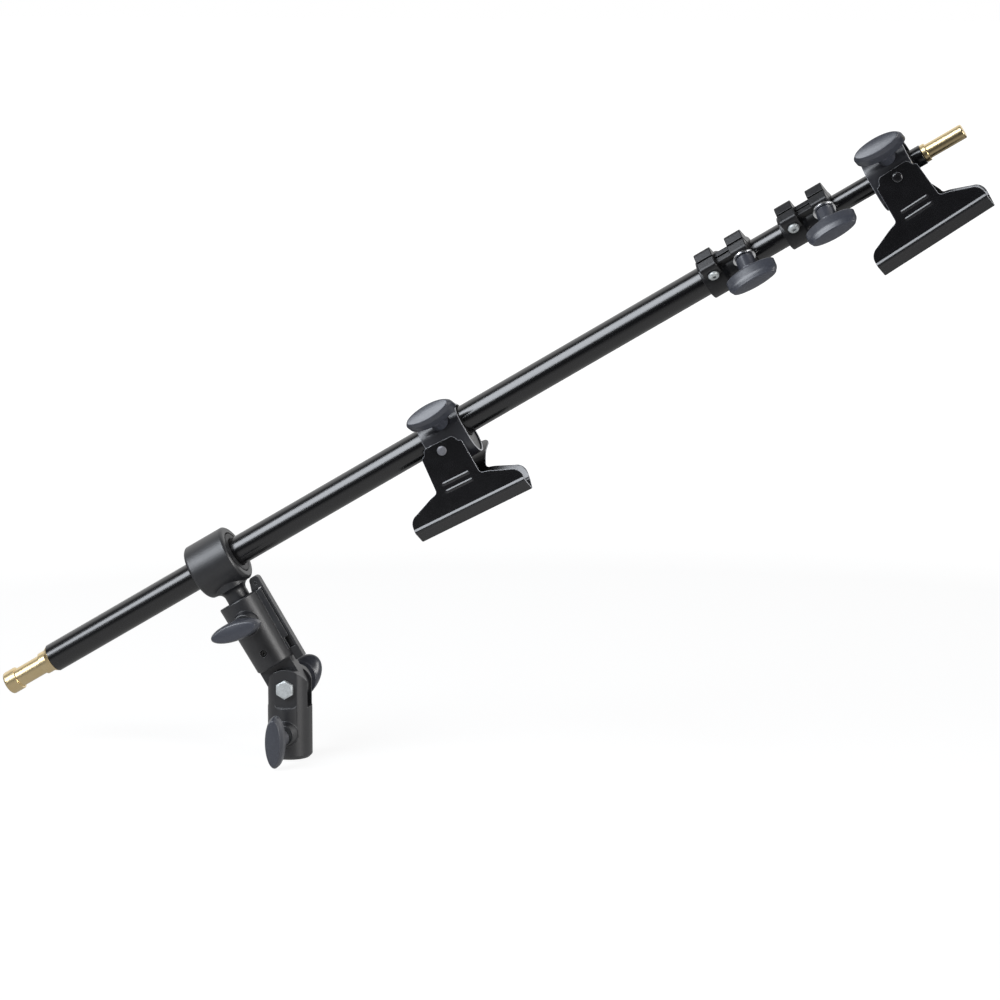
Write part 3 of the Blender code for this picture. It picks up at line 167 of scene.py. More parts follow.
class Finish:
    """A material, with helpers for the textures that this arm needs."""

    def __init__(self, name, soft_edge, **constants):
        self.material = bpy.data.materials.new(name)
        self.material.use_nodes = True
        self.tree = self.material.node_tree
        self.shader = self.tree.nodes["Principled BSDF"]
        for socket, value in constants.items():
            self.shader.inputs[socket.replace("_", " ")].default_value = value
        self.place = self.node("ShaderNodeTexCoord", {}, {}, "Object")
        if soft_edge:
            self.soft_normal = self.node("ShaderNodeBevel", {"samples": 6}, {"Radius": soft_edge})
        else:
            self.soft_normal = self.node("ShaderNodeNewGeometry", {}, {}, "Normal")

    def node(self, kind, settings, sockets, output=0):
        return add_node(self.tree, kind, settings, sockets, output)

    def cloud(self, scale, detail=3.0, place=None):
        sockets = {"Vector": place or self.place, "Scale": scale, "Detail": detail, "Roughness": 0.55}
        return self.node("ShaderNodeTexNoise", {}, sockets, "Fac")

    def cells(self, scale):
        sockets = {"Vector": self.place, "Scale": scale}
        return self.node("ShaderNodeTexVoronoi", {"feature": "F1"}, sockets, "Distance")

    def stretched(self, x, y, z):
        settings = {"operation": "MULTIPLY"}
        return self.node("ShaderNodeVectorMath", settings, {0: self.place, 1: (x, y, z)})

    def edge(self, gain):
        """1 along an edge and 0 on a plain face."""
        true_normal = self.node("ShaderNodeNewGeometry", {}, {}, "Normal")
        settings = {"operation": "DOT_PRODUCT"}
        likeness = self.node("ShaderNodeVectorMath", settings, {0: self.soft_normal, 1: true_normal},
                             VECTOR_MATH_VALUE)
        return ((1.0 - likeness) * gain).at_most(1.0).at_least(0.0)

    def mixed(self, share, first, second):
        sockets = {0: share}
        for slot, colour in ((MIX_COLOUR_A, first), (MIX_COLOUR_B, second)):
            sockets[slot] = colour if isinstance(colour, Wire) else (*colour, 1.0)
        return self.node("ShaderNodeMix", {"data_type": "RGBA"}, sockets, MIX_COLOUR_RESULT)

    def bump(self, height, strength, distance):
        sockets = {"Strength": strength, "Distance": distance, "Height": height, "Normal": self.soft_normal}
        return self.node("ShaderNodeBump", {}, sockets)

    def feed(self, **wires):
        for socket, wire in wires.items():
            self.tree.links.new(wire.socket, self.shader.inputs[socket.replace("_", " ")])
        return self.material


finishes = {}


def add_finishes(make, rows):
    """Fill the table: each row has a key, the maker's arguments and the material slot in the record."""
    for key, arguments, slot in rows:
        finishes[key] = (make(*arguments), slot)
    print("finishes", ", ".join(finishes))


print("the finish class is ready")

# %% [markdown]
# The head is die cast and coated in a satin charcoal with a fine grain. The
# grain is a small noise used twice, once as a bump and once to vary the
# roughness, because real coating is rougher in its pits. Edges get lighter
# where hands and stands have rubbed them. The grub screw is plain black.

# %% Cast finish
def cast_finish(name, low, high, worn):
    finish = Finish(name, 0.0007, Metallic=0.0, Specular_IOR_Level=0.95)
    grain = finish.cloud(2600.0, 2.0)
    patches = finish.cloud(90.0)
    wear = finish.edge(3.0) * finish.cloud(500.0)
    charcoal = finish.mixed(patches, low, high)
    colour = finish.mixed(wear * worn, charcoal, (0.22, 0.225, 0.24))
    return finish.feed(
        Base_Color=colour,
        Roughness=0.32 + patches * 0.08 + grain * 0.10,
        Normal=finish.bump(grain, 0.08, 0.0002),
    )


add_finishes(cast_finish, (
    ("cast", ("satin_cast", (0.0075, 0.0078, 0.0092), (0.0145, 0.0150, 0.0175), 0.9), "receiver_cast"),
    ("black_screw", ("black_screw", (0.0020, 0.0020, 0.0022), (0.0040, 0.0040, 0.0044), 0.1),
     "receiver_cast"),
))

# %% [markdown]
# The boom sections are aluminium tube with a hard gloss black coat. Two noises
# stretched along the tube give the faint drawing lines and the light rubs that
# a sliding section picks up.

# %% Gloss tube finish
def tube_finish():
    finish = Finish("gloss_tube", 0.0, Specular_IOR_Level=0.9)
    lines = finish.cloud(1.0, 2.0, finish.stretched(6.0, 900.0, 900.0))
    rubs = finish.cloud(1.0, 4.0, finish.stretched(40.0, 160.0, 160.0))
    colour = finish.mixed(rubs, (0.0026, 0.0026, 0.0032), (0.0036, 0.0036, 0.0042))
    return finish.feed(
        Base_Color=colour,
        Roughness=0.19 + lines * 0.03 + rubs.power(3.0) * 0.06,
        Normal=finish.bump(rubs, 0.01, 0.0001),
    )


add_finishes(tube_finish, (("tube", (), "tube_black"),))

# %% [markdown]
# The wing knobs are glass filled nylon, slate grey and slightly frosted. The
# fibres show as tiny pale flecks, which a sharpened small noise imitates.
# Their edges are mixed towards a paler slate, a painted highlight line.

# %% Knob finish
def knob_finish():
    finish = Finish("slate_knob", 0.0006, Specular_IOR_Level=0.8)
    grain = finish.cloud(3200.0, 2.0)
    flecks = finish.cloud(1500.0, 4.0).power(5.0)
    slate = finish.mixed(flecks, (0.034, 0.037, 0.048), (0.17, 0.18, 0.21))
    # Painted highlight: the edge mask lightens every corner towards a paler slate.
    colour = finish.mixed(finish.edge(4.0) * 0.6, slate, (0.24, 0.25, 0.30))
    return finish.feed(
        Base_Color=colour,
        Roughness=0.28 + grain * 0.12,
        Normal=finish.bump(grain, 0.06, 0.0002),
    )


add_finishes(knob_finish, (("knob", (), "knob_plastic"),))

# %% [markdown]
# The locking clamps and the blocks inside the clips are black moulded plastic
# with a spark texture, so they look rougher than the knobs. The collar's
# liner is the same plastic, turned smooth. Their edges are mixed towards a
# dark grey, a painted highlight line.

# %% Moulded black finishes
def moulded_finish(name, colour_low, colour_high, roughness, grain_strength):
    finish = Finish(name, 0.0006, Specular_IOR_Level=0.5)
    spark = finish.cells(1500.0)
    cloud = finish.cloud(300.0)
    base = finish.mixed(cloud, colour_low, colour_high)
    # Painted highlight: the edge mask lightens every corner towards a dark grey.
    colour = finish.mixed(finish.edge(3.0) * 0.4, base, (0.13, 0.13, 0.14))
    return finish.feed(
        Base_Color=colour,
        Roughness=roughness + cloud * 0.12,
        Normal=finish.bump(spark, grain_strength, 0.0002),
    )


add_finishes(moulded_finish, (
    ("plastic", ("moulded_clamp", (0.0060, 0.0060, 0.0066), (0.013, 0.013, 0.0145), 0.30, 0.12),
     "clamp_plastic"),
    ("nylon", ("liner_nylon", (0.014, 0.014, 0.015), (0.026, 0.026, 0.028), 0.42, 0.08), "liner_nylon"),
    ("rubber", ("grip_rubber", (0.010, 0.010, 0.010), (0.022, 0.021, 0.020), 0.66, 0.20), "grip_rubber"),
))

# %% [markdown]
# The jaws are pressed steel sheet under a thin black enamel with a very fine
# grain. The enamel is scraped off the cut rim, which shines like uncoated
# steel. The rim is where the surface no longer faces the way the sheet does,
# so a mask of the object's own normal finds it: along Y for the flat front
# jaw, and along X, the length of the tube, for the bent pieces. The edge mask
# adds a painted highlight, a hair line of the steel colour on the corner itself.

# %% Sheet metal finishes
# Each row holds enamel low, enamel high, and the uncoated steel colour, which also paints the highlight line
# on the corners.
BLACK_ENAMEL = ((0.0034, 0.0034, 0.0040), (0.0070, 0.0070, 0.0082), (0.42, 0.43, 0.46))
STRAP_GREY = ((0.013, 0.0135, 0.0165), (0.026, 0.027, 0.033), (0.50, 0.51, 0.54))
SPRING_GREY = ((0.05, 0.052, 0.06), (0.10, 0.10, 0.11), (0.45, 0.46, 0.48))


def sheet_finish(name, colours, flat_front, roughness):
    colour_low, colour_high, uncoated_and_highlight = colours
    finish = Finish(name, 0.0006, Specular_IOR_Level=0.85)
    grain = finish.cloud(2400.0, 2.0)
    patches = finish.cloud(120.0, 4.0)
    enamel = finish.mixed(patches, colour_low, colour_high)
    facing = finish.node("ShaderNodeTexCoord", {}, {}, "Normal")
    if flat_front:
        along_y = finish.node("ShaderNodeSeparateXYZ", {}, {0: facing}, "Y")
        rim = (0.62 - along_y.size()) * 4.0
    else:
        along_x = finish.node("ShaderNodeSeparateXYZ", {}, {0: facing}, "X")
        rim = (along_x.size() - 0.40) * 4.0
    # The rim mask is uncoated steel; the edge mask added to it is a painted highlight line.
    uncoated_rim_and_highlight = (rim.at_least(0.0) + finish.edge(9.0)).at_most(1.0)
    share = uncoated_rim_and_highlight * (0.60 + finish.cloud(260.0) * 0.6).at_most(1.0)
    return finish.feed(
        Base_Color=finish.mixed(share, enamel, uncoated_and_highlight),
        Metallic=share * 0.2,
        Roughness=roughness + grain * 0.06 + patches * 0.06,
        Normal=finish.bump(grain, 0.05, 0.0002),
    )


add_finishes(sheet_finish, (
    ("sheet", ("enamel_sheet", BLACK_ENAMEL, True, 0.17), "jaw_sheet"),
    ("bent_sheet", ("enamel_bent", BLACK_ENAMEL, False, 0.17), "jaw_sheet"),
    ("strap", ("strap_sheet", STRAP_GREY, False, 0.28), "strap_sheet"),
    ("spring", ("spring_steel", SPRING_GREY, False, 0.30), "spring_steel"),
))

# %% [markdown]
# Brass, zinc and chrome are metals. The brass studs are turned, so thin rings
# run round their axis: a noise squeezed along the stud gives them. Zinc
# plating is mottled like frost, which Voronoi cells draw well.

# %% Bright metals
def brass_finish():
    finish = Finish("turned_brass", 0.0, Metallic=1.0)
    rings = finish.cloud(1.0, 3.0, finish.stretched(1400.0, 30.0, 30.0))
    tarnish = finish.cloud(170.0, 4.0)
    colour = finish.mixed(tarnish, (0.86, 0.71, 0.44), (0.74, 0.57, 0.30))
    return finish.feed(
        Base_Color=colour,
        Roughness=0.24 + rings * 0.10 + tarnish * 0.05,
        Normal=finish.bump(rings, 0.03, 0.0001),
    )


def zinc_finish(name, light, dark):
    finish = Finish(name, 0.0003, Specular_IOR_Level=0.5)
    frost = finish.cells(900.0)
    stains = finish.cloud(700.0, 4.0)
    base = finish.mixed(stains, light, dark)
    colour = finish.mixed((frost * 0.8).at_most(1.0) * 0.5, base, light)
    return finish.feed(
        Base_Color=colour,
        Metallic=0.30 + stains * 0.35,
        Roughness=0.30 + stains * 0.22,
        Normal=finish.bump(stains, 0.20, 0.0002),
    )


def chrome_finish():
    finish = Finish("bright_chrome", 0.0, Metallic=1.0)
    haze = finish.cloud(420.0, 4.0)
    return finish.feed(
        Base_Color=finish.mixed(haze, (0.92, 0.93, 0.94), (0.80, 0.81, 0.83)),
        Roughness=0.18 + haze * 0.16,
        Normal=finish.bump(haze, 0.06, 0.0001),
    )


add_finishes(brass_finish, (("brass", (), "brass"),))
add_finishes(zinc_finish, (
    ("zinc", ("frosted_zinc", (0.74, 0.77, 0.77), (0.34, 0.36, 0.36)), "zinc_steel"),
    ("dull_zinc", ("dull_zinc", (0.26, 0.26, 0.28), (0.12, 0.12, 0.13)), "zinc_steel"),
))
add_finishes(chrome_finish, (("chrome", (), "washer_chrome"),))

# %% [markdown]
# Most of the arm is turned on a lathe, so most of its pieces start as a
# profile that is spun round an axis. A drawn profile has sharp corners and a
# real one never does: `eased` swaps each corner for a short curve.

# %% Profiles
def arc(centre, radius, start, end, steps=ARC_STEPS):
    """Points of a circular arc, both ends included, angles in degrees."""
    points = []
    for step in range(steps + 1):
        angle = math.radians(start + (end - start) * step / steps)
        points.append((centre[0] + radius * math.cos(angle), centre[1] + radius * math.sin(angle)))
    return points


def on_curve(start, bend, end, share):
    """Point of a curve that leaves the start towards the bend and ends at the end."""
    return start * (1 - share) ** 2 + bend * 2 * share * (1 - share) + end * share ** 2


def eased(points, radius, closed=False):
    """Swap the corners of a line of points for short curves."""
    result = []
    for index, point in enumerate(points):
        if not closed and index in (0, len(points) - 1):
            result.append(tuple(point))
            continue
        corner = Vector(point)
        before = Vector(points[index - 1]) - corner
        after = Vector(points[(index + 1) % len(points)]) - corner
        reach = min(radius, 0.45 * before.length, 0.45 * after.length)
        start = corner + before.normalized() * reach
        end = corner + after.normalized() * reach
        for step in range(EASE_STEPS + 1):
            result.append(tuple(on_curve(start, corner, end, step / EASE_STEPS)))
    return result


def lathe(profile, steps=FINE_STEPS, axis="Z"):
    """Spin (radius, height) points round an axis; a profile off the axis closes on itself."""
    shape = bmesh.new()
    verts = [shape.verts.new((radius, 0.0, height)) for radius, height in profile]
    edges = [shape.edges.new(pair) for pair in zip(verts, verts[1:])]
    if profile[0][0] > 0.0:
        edges.append(shape.edges.new((verts[-1], verts[0])))
    bmesh.ops.spin(shape, geom=verts + edges, cent=(0, 0, 0), axis=(0, 0, 1),
                   angle=TURN, steps=steps, use_merge=True)
    if axis == "X":
        bmesh.ops.rotate(shape, verts=shape.verts, matrix=Matrix.Rotation(TURN / 4, 3, "Y"))
    if axis == "Y":
        bmesh.ops.rotate(shape, verts=shape.verts, matrix=Matrix.Rotation(-TURN / 4, 3, "X"))
    bmesh.ops.remove_doubles(shape, verts=shape.verts, dist=MERGE_DISTANCE)
    bmesh.ops.recalc_face_normals(shape, faces=shape.faces)
    return shape


def rod(radius, low, high, steps=SMALL_STEPS, axis="Z", ease=0.0):
    """A round bar between two heights of its axis."""
    profile = [(0.0, low), (radius, low), (radius, high), (0.0, high)]
    return lathe(eased(profile, ease) if ease else profile, steps, axis)


def pipe(bore, radius, low, high, steps=FINE_STEPS, axis="Z", ease=EASE_FINE):
    """A tube between two heights of its axis, with eased rims."""
    return lathe(eased([(bore, low), (radius, low), (radius, high), (bore, high)], ease, True), steps, axis)


print("an eased corner has", EASE_STEPS, "facets")

# %% [markdown]
# The rest is cut from outlines or skinned over rings. Booleans join the forms
# and open the bores, as the machining of the real castings does.

# %% Prisms, skins and booleans
def prism(outline, near, far, plane):
    """Extrude a flat outline between two depths, square to its plane."""
    place = {
        "XZ": lambda u, v, depth: (u, depth, v),
        "YZ": lambda u, v, depth: (depth, u, v),
        "XY": lambda u, v, depth: (u, v, depth),
    }[plane]
    shape = bmesh.new()
    face = shape.faces.new([shape.verts.new(place(u, v, near)) for u, v in outline])
    extruded = bmesh.ops.extrude_face_region(shape, geom=[face])
    new_verts = [item for item in extruded["geom"] if isinstance(item, bmesh.types.BMVert)]
    bmesh.ops.translate(shape, verts=new_verts, vec=place(0.0, 0.0, far - near))
    bmesh.ops.recalc_face_normals(shape, faces=shape.faces)
    return shape


def block(low, high):
    """A block between two corners."""
    outline = [(low[0], low[1]), (high[0], low[1]), (high[0], high[1]), (low[0], high[1])]
    return prism(outline, low[2], high[2], "XY")


def skin(rings):
    """Skin rings of equally many points and cap both ends."""
    shape = bmesh.new()
    rows = [[shape.verts.new(point) for point in ring] for ring in rings]
    count = len(rows[0])
    for lower, upper in zip(rows, rows[1:]):
        for index in range(count):
            after = (index + 1) % count
            shape.faces.new((lower[index], lower[after], upper[after], upper[index]))
    shape.faces.new(rows[0])
    shape.faces.new(rows[-1])
    bmesh.ops.recalc_face_normals(shape, faces=shape.faces)
    return shape


def carried(shape, name="carrier"):
    """Hand a shape to a throwaway object, so that a modifier can work on it."""
    mesh = bpy.data.meshes.new(name)
    shape.to_mesh(mesh)
    shape.free()
    carrier = bpy.data.objects.new(name, mesh)
    bpy.context.collection.objects.link(carrier)
    return carrier


def taken(carrier, *others):
    """Read the modified shape back and remove the throwaway objects."""
    result = bmesh.new()
    result.from_object(carrier, bpy.context.evaluated_depsgraph_get())
    for used in (carrier, *others):
        mesh = used.data
        bpy.data.objects.remove(used)
        bpy.data.meshes.remove(mesh)
    bmesh.ops.remove_doubles(result, verts=result.verts, dist=MERGE_DISTANCE)
    return result


def combine(base, tool, operation):
    """Boolean of two closed shapes, which are used up."""
    carrier = carried(base)
    other = carried(tool)
    modifier = carrier.modifiers.new("combine", "BOOLEAN")
    modifier.operation = operation
    modifier.solver = "EXACT"
    modifier.object = other
    return taken(carrier, other)


def cut(base, *tools):
    """Take each tool out of the base."""
    for tool in tools:
        base = combine(base, tool, "DIFFERENCE")
    return base


def fuse(base, *tools):
    """Join each tool to the base."""
    for tool in tools:
        base = combine(base, tool, "UNION")
    return base


def softened(shape, width, segments=3, angle=40.0):
    """Round every sharp edge of a shape."""
    carrier = carried(shape)
    modifier = carrier.modifiers.new("soft", "BEVEL")
    modifier.width = width
    modifier.segments = segments
    modifier.limit_method = "ANGLE"
    modifier.angle_limit = math.radians(angle)
    return taken(carrier)


def moved(shape, offset):
    """Shift a shape inside its own frame."""
    bmesh.ops.translate(shape, verts=shape.verts, vec=offset)
    return shape


def turned(shape, angle, axis):
    """Turn a shape about an axis of its own frame."""
    bmesh.ops.rotate(shape, verts=shape.verts, matrix=Matrix.Rotation(angle, 3, axis))
    return shape


print("shape tools are ready")

# %% [markdown]
# One function turns a shape into the visible piece of a CAD node. It sets the
# place as the object's matrix, rides it on the node's own body, hides the
# node, and prints how far the new piece's box is from the node's box, which
# shows at once if a piece is in the wrong place.

# %% Dressing a node
SHARP_ANGLE = math.radians(38.0)


def dress(node, shape, place, finish):
    """Show a finer shape in place of one CAD node."""
    mesh = bpy.data.meshes.new(node + "_shape")
    shape.to_mesh(mesh)
    shape.free()
    mesh.shade_smooth()
    mesh.set_sharp_from_angle(angle=SHARP_ANGLE)
    material, slot = finishes[finish]
    mesh.materials.append(material)
    piece = bpy.data.objects.new(node + "_shape", mesh)
    bpy.context.collection.objects.link(piece)
    piece.matrix_world = place
    weighted = piece.modifiers.new("even_normals", "WEIGHTED_NORMAL")
    weighted.keep_sharp = True
    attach(piece, body_of_node[node])
    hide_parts(node)
    low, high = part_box(node)
    corners = [place @ vertex.co for vertex in mesh.vertices]
    drift = max(max(abs(min(corner[axis] for corner in corners) - low[axis]),
                    abs(max(corner[axis] for corner in corners) - high[axis])) for axis in range(3))
    print(f"{node}: {len(mesh.polygons)} faces, box drift {drift * 1000:.2f} mm")
    return piece


def axes_place(origin, long_axis, outward):
    """Matrix that takes X to the long axis and Z to the outward one."""
    x_axis = Vector(long_axis).normalized()
    z_axis = Vector(outward).normalized()
    y_axis = z_axis.cross(x_axis)
    turn = Matrix((x_axis, y_axis, z_axis)).transposed().to_4x4()
    return Matrix.Translation(origin) @ turn


print("ready to dress", len(body_of_node), "nodes")

# %% [markdown]
# The lower receiver drops on a lighting stud. It is a bar with a socket below
# and a clevis above: two cheeks with a slot between them. A conical boss for
# the clamping screw stands out at the front, and each cheek has a flat, one
# for the bolt head and one for the tension knob's washer.

# %% Lower receiver
STUD_RADIUS = 0.00795
SOCKET_RADIUS = STUD_RADIUS + GAP
RECEIVER_RADIUS = 0.0150
RECEIVER_CHAMFER = 0.0022
SOCKET_DEPTH = 0.0308
SLOT_FLOOR = SOCKET_DEPTH + 0.0045
TONGUE_THICKNESS = 0.0114
TONGUE_RADIUS = 0.0121
PIVOT_HEIGHT = SLOT_FLOOR + TONGUE_RADIUS + 0.0009
CHEEK_RISE = 0.0131
CHEEK_HALF = 0.0135
CHEEK_CROWN = 0.0085
CHEEK_EASE = 0.0015
FLAT_OFFSET = 0.0129
FLAT_DROP = 0.0130
FLAT_CORNER = 0.0040
FLAT_MARGIN = 0.0005
BOLT_RADIUS = 0.0032
LOWER_KNOB_HEIGHT = 0.0180
BOSS_BASE_RADIUS = 0.00875
BOSS_END_RADIUS = 0.0075
BOSS_REACH = 0.0210
BOSS_RIM = 0.0012
KNOB_SCREW_RADIUS = 0.0030
TAPPED_RADIUS = KNOB_SCREW_RADIUS + GAP
KNOB_STANDOFF = 0.0060
BEYOND = 0.0300


def receiver_boss(height):
    """Conical clamping boss that stands towards -Y, with a narrow raised rim."""
    profile = eased([
        (0.0, RECEIVER_RADIUS / 2),
        (BOSS_BASE_RADIUS, RECEIVER_RADIUS / 2),
        (BOSS_BASE_RADIUS, RECEIVER_RADIUS - GAP),
        (BOSS_END_RADIUS, BOSS_REACH - BOSS_RIM / 2),
        (BOSS_END_RADIUS - BOSS_RIM / 2, BOSS_REACH),
        (BOSS_END_RADIUS - BOSS_RIM * 1.5, BOSS_REACH),
        (BOSS_END_RADIUS - BOSS_RIM * 2, BOSS_REACH - BOSS_RIM / 2),
        (0.0, BOSS_REACH - BOSS_RIM / 2),
    ], EASE_SMALL)
    return moved(turned(lathe(profile, SMALL_STEPS), TURN / 4, "X"), (0.0, 0.0, height))


def receiver_tapping(height):
    """Cutter for the tapped hole through the boss into the socket."""
    tapping = rod(TAPPED_RADIUS, 0.0, BOSS_REACH + KNOB_STANDOFF)
    return moved(turned(tapping, TURN / 4, "X"), (0.0, 0.0, height))


def flat_cutter(half_width, low, high, near, far):
    """Cutter for a milled flat with two round lower corners."""
    outline = arc((half_width - FLAT_CORNER, low + FLAT_CORNER), FLAT_CORNER, -90, 0)
    outline += [(half_width, high), (-half_width, high)]
    outline += arc((FLAT_CORNER - half_width, low + FLAT_CORNER), FLAT_CORNER, 180, 270)
    return prism(outline, near, far, "XZ")


def lower_receiver():
    top = PIVOT_HEIGHT + CHEEK_RISE
    profile = eased([
        (0.0, 0.0),
        (RECEIVER_RADIUS - RECEIVER_CHAMFER, 0.0),
        (RECEIVER_RADIUS, RECEIVER_CHAMFER),
        (RECEIVER_RADIUS, top),
        (0.0, top),
    ], EASE_WIDE)
    slot_half = TONGUE_THICKNESS / 2 + GAP
    body = lathe(profile)
    crown_radius = (CHEEK_HALF ** 2 + CHEEK_CROWN ** 2) / (2 * CHEEK_CROWN)
    corner_angle = math.degrees(math.asin((crown_radius - CHEEK_CROWN) / crown_radius))
    crown = arc((0.0, top - crown_radius), crown_radius, corner_angle, 180 - corner_angle, 4 * ARC_STEPS)
    side = eased([(CHEEK_HALF, SLOT_FLOOR), crown[0], crown[1]], CHEEK_EASE)
    outline = [(-BEYOND, SLOT_FLOOR), (-BEYOND, -BEYOND), (BEYOND, -BEYOND), (BEYOND, SLOT_FLOOR)]
    outline += side[:-1] + crown[1:-1] + [(-u, v) for u, v in reversed(side[:-1])]
    body = combine(body, prism(outline, -BEYOND, BEYOND, "XZ"), "INTERSECT")
    body = fuse(body, receiver_boss(LOWER_KNOB_HEIGHT))
    slot = block((-BEYOND, -slot_half, SLOT_FLOOR), (BEYOND, slot_half, top + BEYOND))
    flat_half = math.sqrt(RECEIVER_RADIUS ** 2 - FLAT_OFFSET ** 2) + FLAT_MARGIN
    low = PIVOT_HEIGHT - FLAT_DROP
    front_flat = flat_cutter(flat_half, low, top + BEYOND, -BEYOND, -FLAT_OFFSET)
    back_flat = flat_cutter(flat_half, low, top + BEYOND, FLAT_OFFSET, BEYOND)
    bolt_hole = moved(rod(BOLT_RADIUS + GAP, -BEYOND, BEYOND, axis="Y"), (0.0, 0.0, PIVOT_HEIGHT))
    socket = rod(SOCKET_RADIUS, -BEYOND, SOCKET_DEPTH)
    return cut(body, slot, front_flat, back_flat, bolt_hole, socket, receiver_tapping(LOWER_KNOB_HEIGHT))


GROUND = Matrix.Identity(4)
dress("lower_receiver", lower_receiver(), GROUND, "cast")

# %% [markdown]
# The upper receiver is a slightly tapered barrel on a round tongue. The
# tongue tilts in the clevis, and the barrel takes the stem of the boom's
# collar. A rib along its right side carries the keeper.

# %% Places that the tilt gives
BOOM_ANGLE = math.radians(30.8)
CHEEK_REACH = max(CHEEK_RISE, math.hypot(CHEEK_HALF, CHEEK_RISE - CHEEK_CROWN))
SHOULDER_RISE = CHEEK_REACH + 0.0029
BARREL_TOP = SHOULDER_RISE + 0.0503
BOOM_RISE = BARREL_TOP + 0.0285
TILT = Matrix.Translation((0.0, 0.0, PIVOT_HEIGHT)) @ Matrix.Rotation(-BOOM_ANGLE, 4, "Y")
BOOM = TILT @ Matrix.Translation((0.0, 0.0, BOOM_RISE))
print("the boom's axis passes", [round(value, 4) for value in BOOM.translation])

# %% Upper receiver
BARREL_FOOT_RADIUS = 0.0142
BARREL_TOP_RADIUS = 0.0151
MOUTH_CHAMFER = 0.0010
STEM_INSERT = 0.0440
UPPER_KNOB_HEIGHT = BARREL_TOP - 0.0163
SET_SCREW_HEIGHT = BARREL_TOP - 0.0393
SET_SCREW_RADIUS = 0.0020
SET_SCREW_REACH = 0.0135
SET_SCREW_KEY = 0.0020
SET_SCREW_KEY_DEPTH = 0.0015
KEY_CLEAR = 0.001
SET_SCREW_TIP_RADIUS = 0.0012
SET_SCREW_TIP_LENGTH = 0.0007
GROOVE_DEPTH = 0.0018
KEEPER_REACH = 0.0202
KEEPER_THICKNESS = 0.0016
RIB_FOOT = SHOULDER_RISE + 0.0051
RIB_WIDTH = 0.0090
RIB_POCKET_TOP = SHOULDER_RISE + 0.0130
RIB_POCKET_DEPTH = 0.0040
RIB_POCKET_BELOW = 0.0025
RIB_EASE = 0.0005


def upper_receiver():
    half = TONGUE_THICKNESS / 2
    outline = arc((0.0, 0.0), TONGUE_RADIUS, 180, 360, 4 * ARC_STEPS)
    outline += [(TONGUE_RADIUS, SHOULDER_RISE + half), (-TONGUE_RADIUS, SHOULDER_RISE + half)]
    tongue = softened(prism(outline, -half, half, "XZ"), EASE_SMALL)
    chamfer = RECEIVER_CHAMFER / 2
    barrel = lathe(eased([
        (0.0, SHOULDER_RISE),
        (BARREL_FOOT_RADIUS - chamfer, SHOULDER_RISE),
        (BARREL_FOOT_RADIUS, SHOULDER_RISE + chamfer),
        (BARREL_TOP_RADIUS, BARREL_TOP - chamfer / 2),
        (BARREL_TOP_RADIUS - chamfer / 2, BARREL_TOP),
        (0.0, BARREL_TOP),
    ], EASE_SMALL))
    rib_reach = KEEPER_REACH - KEEPER_THICKNESS - GAP
    rib = block((BARREL_FOOT_RADIUS / 2, -RIB_WIDTH / 2, RIB_FOOT),
                (rib_reach, RIB_WIDTH / 2, BARREL_TOP - GAP))
    pocket = block((BARREL_TOP_RADIUS, -RIB_WIDTH, RIB_FOOT - RIB_POCKET_BELOW),
                   (2 * rib_reach, RIB_POCKET_DEPTH - RIB_WIDTH / 2, RIB_POCKET_TOP))
    rib = softened(cut(rib, pocket), RIB_EASE)
    body = fuse(barrel, rib, receiver_boss(UPPER_KNOB_HEIGHT), tongue)
    socket_floor = BARREL_TOP - STEM_INSERT - GAP
    mouth = SOCKET_RADIUS + MOUTH_CHAMFER
    socket = lathe(eased([
        (0.0, socket_floor),
        (SOCKET_RADIUS, socket_floor),
        (SOCKET_RADIUS, BARREL_TOP - MOUTH_CHAMFER),
        (mouth, BARREL_TOP),
        (mouth, BARREL_TOP + BEYOND),
        (0.0, BARREL_TOP + BEYOND),
    ], EASE_HAIR))
    bolt_hole = rod(BOLT_RADIUS + GAP, -BEYOND, BEYOND, axis="Y")
    screw_hole = rod(SET_SCREW_RADIUS + GAP, 0.0, BEYOND)
    screw_hole = moved(turned(screw_hole, TURN / 4, "X"), (0.0, 0.0, SET_SCREW_HEIGHT))
    return cut(body, socket, bolt_hole, screw_hole, receiver_tapping(UPPER_KNOB_HEIGHT))


dress("upper_receiver", upper_receiver(), TILT, "cast")

# %% [markdown]
# Beside the barrel runs the keeper, a rail whose hooked tab reaches over the
# barrel's mouth and stops the collar's stem from climbing out. It is pressed
# against the barrel, so no light shows between them. A cross pin goes through
# the tab. A small grub screw below rides in the stem's groove.

# %% Keeper and grub screw
KEEPER_WIDTH = 0.0066
KEEPER_TAIL_DROP = 0.0038
KEEPER_TAIL_THICKNESS = 0.0062
KEEPER_HOOK_FOOT = 0.0110
KEEPER_HOOK_TOP = 0.0130
KEEPER_CORNER = 0.0027
KEEPER_PIN_RADIUS = 0.0010
MAIN_TUBE_RADIUS = 0.00975
BUSH_BORE = MAIN_TUBE_RADIUS + GAP
BUSH_RADIUS = BUSH_BORE + 0.00395
COLLAR_BORE = BUSH_RADIUS + GAP
COLLAR_RADIUS = COLLAR_BORE + 0.0052
KEEPER_TOP = BOOM_RISE - COLLAR_RADIUS - 0.0004
KEEPER_PIN_PLACE = ((KEEPER_HOOK_TOP + KEEPER_REACH) / 2, 0.0, KEEPER_TOP - 0.0042)


